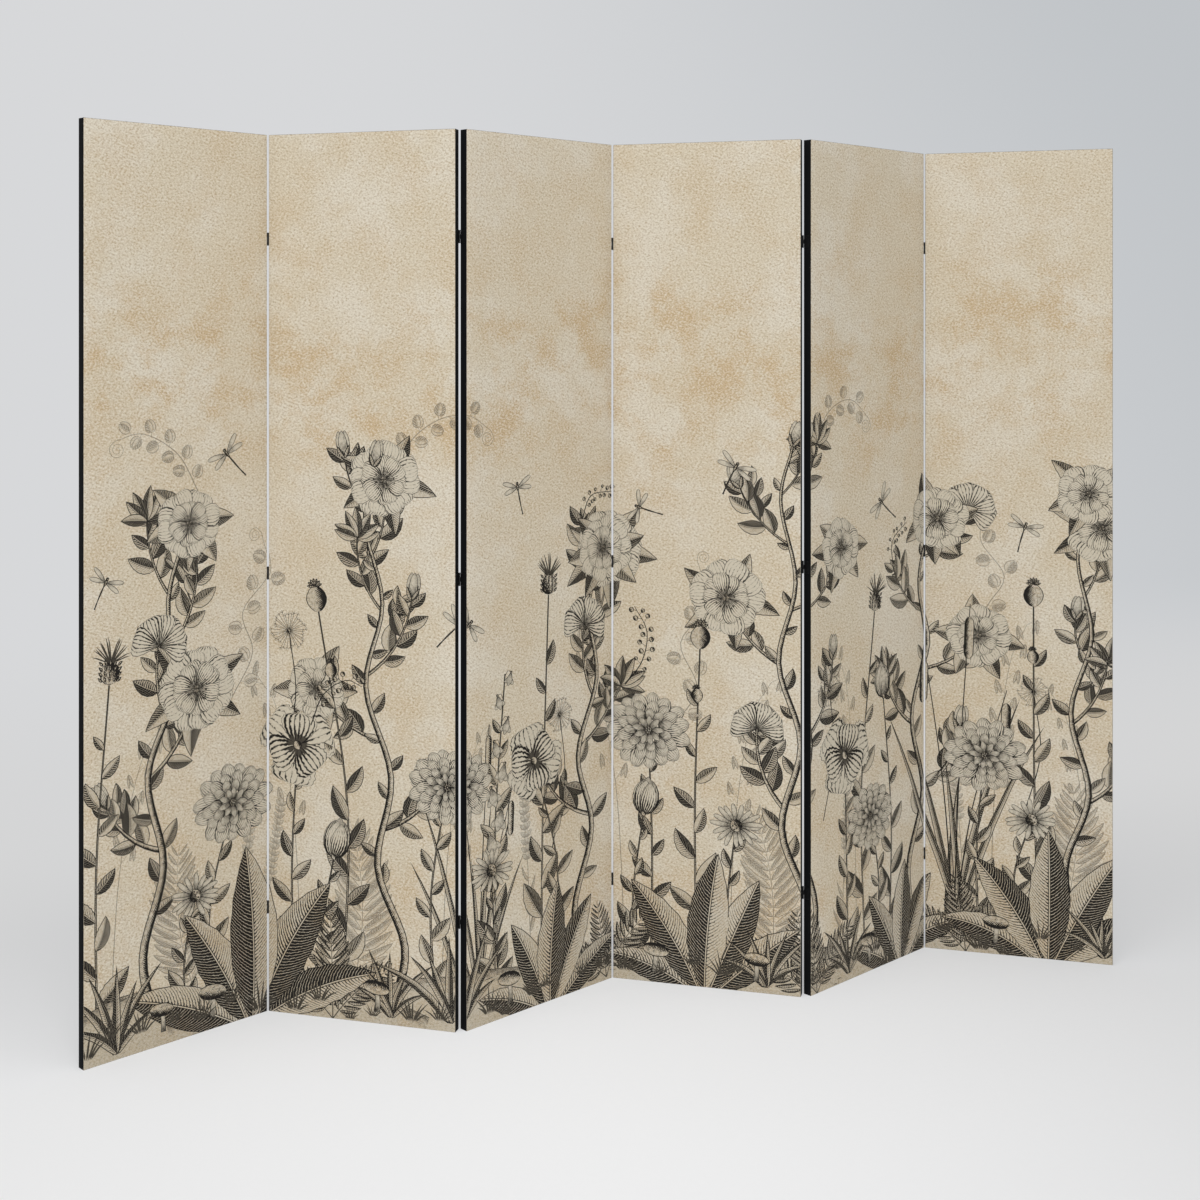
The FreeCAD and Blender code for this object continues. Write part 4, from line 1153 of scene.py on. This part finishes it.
def build_print(number, shapes, levels, materials):
    """The ink on one panel, cut off at the panel's edges."""
    sizes = bpy.context.scene.divider_sizes
    wide, margin = sizes.width, sizes.ink_margin
    start = (number - 1) * wide
    step = sizes.ink_rise / max(levels)
    bm = bmesh.new()
    place = bm.verts.layers.float_vector.new("place")
    look = bm.verts.layers.float_color.new("look")
    for (finish, line, halves, sides, run, (dark, strength, chance)), level in zip(shapes, levels):
        reach = max(halves)
        if (max(there.real for there in line) + reach) * MM < start or (
                min(there.real for there in line) - reach) * MM > start + wide:
            continue
        height = sizes.ink_step + step * level
        last = len(line) - 1
        made = bmesh.ops.create_grid(bm, x_segments=2, y_segments=last, size=0.5)["verts"]
        turned = 1 if chance > 0.5 else -1
        for vert in made:
            u, k = vert.co.x * 2, round((vert.co.y + 0.5) * last)
            point = (line[k] + sides[k] * halves[k] * u) * MM
            vert.co = (point.real - start, -height, point.imag)
            vert[place] = (halves[k] * u * turned, run[k], halves[k] * (1 - abs(u)))
            vert[look] = (run[k] / run[-1], dark, strength, chance)
        for face in {face for vert in made for face in vert.link_faces}:
            face.material_index = finish
            face.smooth = False
    for axis, edge, outwards in ((0, margin, -1), (0, wide - margin, 1), (2, margin, -1)):
        cut(bm, axis, edge, outwards, drop=True)
    bm.normal_update()
    bmesh.ops.reverse_faces(bm, faces=[face for face in bm.faces if face.normal.y > 0])
    lay_flat_map(bm, start)
    top = max(vert.co.z for vert in bm.verts)
    cut(bm, 2, top / 2)
    # where shapes cross, the bake keeps the last face, so the highest layer of ink comes last
    bm.faces.sort(key=lambda face: -face.calc_center_median().y)
    lay_bake_map(bm, (0.0, 0.0), (wide, top))
    let_canvas_give(sizes, bm.verts)
    bm.normal_update()
    piece = finish_piece(f"print_{number}", bm, materials, number)
    thicken(piece, sizes.ink_depth)


def engraving(name, colours, line_work, filled, fill):
    """An inked finish: parchment under a fill, and the lines that line_work gives."""
    nodes = Nodes(name, Specular_IOR_Level=PRINT_SHINE)
    where = nodes.of_map("cut")
    across, along, edge = nodes.parts(nodes.of_attribute("place", "Vector"))
    share, dark, strength = nodes.parts(nodes.of_attribute("look", "Vector"))
    at = SimpleNamespace(across=across, along=along, edge=edge, share=share, dark=dark,
                         chance=nodes.of_attribute("look", "Alpha"), wobble=nodes.noise(where, 160.0, 3.0, 0.6) - 0.5)
    washed = nodes.mix(strength * filled, parchment_colour(nodes, where, colours), fill)
    return printed_finish(nodes, where, nodes.mix(line_work(nodes, at) * strength, washed, colours.ink))


def line_at(nodes, phase, duty):
    """Ink of evenly spaced lines: duty is the share of the paper that they cover."""
    away = abs(nodes.math("FRACT", phase) - 0.5) * 2.0
    return nodes.map(away - duty, LINE_BLUR, -LINE_BLUR)


def outline(nodes, at, width):
    return nodes.map(at.edge, width * 0.8, width * 1.4, 1.0, 0.0)


def sideways(nodes, at):
    """How far across a shape: -1 at one edge, 1 at the other."""
    return at.across / (abs(at.across) + nodes.most(at.edge, 0.05))


def leaf_lines(nodes, at, period=4.7, rib_width=0.5, fullest=0.94):
    """Slanting veins off a pale rib, heavier on the shaded half."""
    away = abs(at.across)
    wide = at.edge + away
    side = sideways(nodes, at)
    slant = at.along - away * (abs(side) * 0.55 + 0.45)
    phase = slant / period + (at.chance + at.wobble)
    duty = at.dark + nodes.ease(side, -0.2, 0.2, -0.24, 0.52) - abs(side) * 0.24 + at.wobble * 0.5
    hatch = line_at(nodes, phase, nodes.math("MINIMUM", duty, fullest))
    beside = nodes.map(away, rib_width * 3.4, rib_width * 2.2) * nodes.map(wide, 2.5, 6.0)
    rib = nodes.most(nodes.map(away, rib_width * 0.7, rib_width * 1.5), nodes.map(wide, 5.0, 2.5))
    return nodes.most(nodes.most(hatch, beside) * rib, outline(nodes, at, 1.35))


def broad_leaf_lines(nodes, at):
    """The same on a large leaf, with coarser veins."""
    return leaf_lines(nodes, at, period=7.0, rib_width=0.95, fullest=0.84)


def petal_lines(nodes, at):
    """Fine lines from the base of a petal towards its rim."""
    side = sideways(nodes, at)
    phase = side * 3.6 + (at.chance + at.wobble * 0.6)
    base = nodes.map(at.share, 0.6, 0.0, 0.0, 0.8)
    rim = nodes.map(at.share, 0.82, 1.0, 0.0, 0.25)
    duty = base + rim + at.dark * 0.8 + (nodes.map(side, 0.1, 0.9, -0.05, 0.22) + at.wobble * 1.1)
    return nodes.most(line_at(nodes, phase, duty + 0.02), outline(nodes, at, 0.85))


def bark_lines(nodes, at):
    """Short strokes round the shaded side of a stem, and a few down its length."""
    phase = (at.along + at.across * 0.9) / 4.0 + at.wobble * 1.6
    duty = nodes.map(sideways(nodes, at), -0.2, 0.8, -0.35, 1.0) + at.dark * 0.8 + at.wobble * 1.2
    down = line_at(nodes, at.across / 2.2 + at.wobble * 2.0, at.wobble * 1.5 + 0.1)
    return nodes.most(nodes.most(line_at(nodes, phase, duty), down), outline(nodes, at, 1.6))


def solid_lines(nodes, at):
    """Solid ink, a little starved in places."""
    return nodes.map(at.wobble, -0.5, 0.25, 1.0, 0.82)


def ground_lines(nodes, at):
    """Rows of hatching under the brow of the ground, dying out below."""
    phase = (at.along + at.across * 1.6) / 4.2 + at.wobble * 1.4
    duty = nodes.map(at.edge, 0.0, 26.0, 0.55, -0.1) + at.dark * 0.4 + at.wobble * 1.4
    return nodes.most(line_at(nodes, phase, duty), outline(nodes, at, 0.9))


def make_inks(colours):
    """The finishes of the print, in the order of LEAF, PETAL, BARK, SOLID, GROUND and BROAD_LEAF."""
    return [engraving(f"inked_{name}", colours, line_work, filled, fill) for name, line_work, filled, fill in (
        ("leaf", leaf_lines, 0.42, colours.wash), ("petal", petal_lines, 0.7, colours.light),
        ("bark", bark_lines, 0.3, colours.wash), ("solid", solid_lines, 0.8, colours.wash),
        ("ground", ground_lines, 0.4, colours.wash), ("broad_leaf", broad_leaf_lines, 0.3, colours.wash))]


# Operators


class DIVIDER_OT_studio(bpy.types.Operator):
    """Set up the floor, the wall, the lamps and the camera."""

    bl_idname = "divider.studio"
    bl_label = "Studio"

    def execute(self, context):
        studio = context.scene.divider_studio
        # paper on the floor, the middle of it a little towards the camera, that bends up and becomes the wall
        wide, deep, nearer, bend = 26.0, 12.0, 1.0, 7.0
        bm = bmesh.new()
        bmesh.ops.create_grid(bm, x_segments=1, y_segments=1, size=0.5,
                              matrix=Matrix.Translation((0.0, -nearer, 0.0)) @ Matrix.Diagonal((wide, deep, 1.0, 1.0)))
        far = [edge for edge in bm.edges if edge.calc_length() > deep + 1.0 and edge.verts[0].co.y > 0]
        bmesh.ops.spin(bm, geom=far, cent=(0.0, deep / 2 - nearer, bend), axis=(1.0, 0.0, 0.0),
                       angle=math.radians(90), steps=32, use_merge=True)
        bmesh.ops.recalc_face_normals(bm, faces=bm.faces[:])
        for face in bm.faces:
            face.smooth = True
        mesh = bpy.data.meshes.new("studio_sweep")
        bm.to_mesh(mesh)
        bm.free()
        sweep = bpy.data.objects.new("studio_sweep", mesh)
        context.scene.collection.objects.link(sweep)
        mesh.materials.append(make_studio_paper(studio))

        world = bpy.data.worlds.new("studio_room")
        context.scene.world = world
        world.use_nodes = True
        background = world.node_tree.nodes["Background"].inputs
        background["Color"].default_value = (*ROOM_WHITE, 1.0)
        background["Strength"].default_value = studio.room

        # each lamp's power, width and place, and where it points
        for name, watts, size, place, target in (
                ("key_lamp", studio.key, 2.6, (-3.6, -3.4, 3.0), (0.0, 0.0, 0.8)),
                ("front_lamp", studio.front, 2.4, (-0.9, -4.4, 2.2), (-0.3, 0.0, 0.8)),
                ("fill_lamp", studio.fill, 2.4, (3.4, -3.8, 2.2), (0.2, 0.0, 0.8)),
                ("top_lamp", studio.top, 3.2, (0.0, -0.6, 4.2), (0.0, 0.0, 0.0))):
            lamp = bpy.data.lights.new(name, "AREA")
            lamp.shape, lamp.size, lamp.energy = "SQUARE", size, watts
            lamp_object = bpy.data.objects.new(name, lamp)
            lamp_object.location = place
            lamp_object.rotation_euler = (Vector(target) - Vector(place)).to_track_quat("-Z", "Y").to_euler()
            context.scene.collection.objects.link(lamp_object)

        camera = bpy.data.objects.new("studio_camera", bpy.data.cameras.new("studio_camera"))
        camera.data.sensor_width, camera.data.lens, camera.data.shift_y = 36.0, studio.lens, studio.shift
        camera.data.clip_start, camera.data.clip_end = 0.05, 60.0
        camera.location = studio.place
        camera.rotation_euler = (math.radians(90), 0.0, studio.turn)
        context.scene.collection.objects.link(camera)
        context.scene.camera = camera
        context.scene.view_settings.view_transform = "Standard"
        return {"FINISHED"}


class DIVIDER_OT_canvases(bpy.types.Operator):
    """Stretch the printed canvas over each frame."""

    bl_idname = "divider.canvases"
    bl_label = "Printed canvases"

    def execute(self, context):
        sizes, colours = context.scene.divider_sizes, context.scene.divider_colours
        materials = [make_parchment(colours), make_edge_black(colours)]
        for number in PANELS:
            piece = build_canvas(number, materials)
        return {"FINISHED"}


class DIVIDER_OT_print(bpy.types.Operator):
    """Print the garden on the six canvases."""

    bl_idname = "divider.print"
    bl_label = "Garden print"

    def execute(self, context):
        shapes = plant_garden()
        levels = layer_shapes(shapes)
        inks = make_inks(context.scene.divider_colours)
        for number in PANELS:
            build_print(number, shapes, levels, inks)
        return {"FINISHED"}


class DIVIDER_OT_back_cloths(bpy.types.Operator):
    """Cover each back with black cloth."""

    bl_idname = "divider.back_cloths"
    bl_label = "Back cloths"

    def execute(self, context):
        material = make_back_cloth_black(context.scene.divider_colours)
        for number in PANELS:
            build_back_cloth(number, material)
        return {"FINISHED"}


class DIVIDER_OT_fittings(bpy.types.Operator):
    """Finish the hinges, screws, staples and the wooden frames."""

    bl_idname = "divider.fittings"
    bl_label = "Hinges, staples and frames"

    def execute(self, context):
        colours = context.scene.divider_colours
        black, steel = make_painted_metal(colours), make_steel(colours)
        pine = make_wood("planed_pine", colours.pine, LATE_PINE, 95.0)
        beech = make_wood("turned_beech", colours.beech, LATE_BEECH, 60.0)
        finishes = {"left_stile": pine, "right_stile": pine, "rails": pine, "dowels": beech, "staples": steel,
                    "hinge_leaves": black, "hinge_screws": black, "hinge_pins": black}
        for number in PANELS:
            for piece, material in finishes.items():
                if f"panel_{number}_{piece}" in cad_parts:
                    dress_node(f"panel_{number}_{piece}", material)
        return {"FINISHED"}


class DIVIDER_PT_sidebar(bpy.types.Panel):
    """The sizes, the colours and the pieces of the screen."""

    bl_idname = "DIVIDER_PT_sidebar"
    bl_label = "Folding screen"
    bl_space_type = "VIEW_3D"
    bl_region_type = "UI"
    bl_category = "Screen"

    def draw(self, context):
        for group in (context.scene.divider_sizes, context.scene.divider_colours, context.scene.divider_studio):
            box = self.layout.box()
            for name in group.bl_rna.properties.keys():
                if name not in {"rna_type", "name"}:
                    box.prop(group, name)
        for operator in OPERATORS:
            self.layout.operator(operator.bl_idname)


GROUPS = {"divider_sizes": DIVIDER_sizes, "divider_colours": DIVIDER_colours, "divider_studio": DIVIDER_studio}
OPERATORS = (DIVIDER_OT_studio, DIVIDER_OT_canvases, DIVIDER_OT_print, DIVIDER_OT_back_cloths, DIVIDER_OT_fittings)
CLASSES = (*GROUPS.values(), *OPERATORS, DIVIDER_PT_sidebar)


def register():
    for kind in CLASSES:
        bpy.utils.register_class(kind)
    for name, group in GROUPS.items():
        setattr(bpy.types.Scene, name, PointerProperty(type=group))


def unregister():
    for name in GROUPS:
        delattr(bpy.types.Scene, name)
    for kind in reversed(CLASSES):
        bpy.utils.unregister_class(kind)


def main():
    register()
    for operator in OPERATORS:
        family, name = operator.bl_idname.split(".")
        getattr(getattr(bpy.ops, family), name)()


if __name__ == "__main__":
    main()
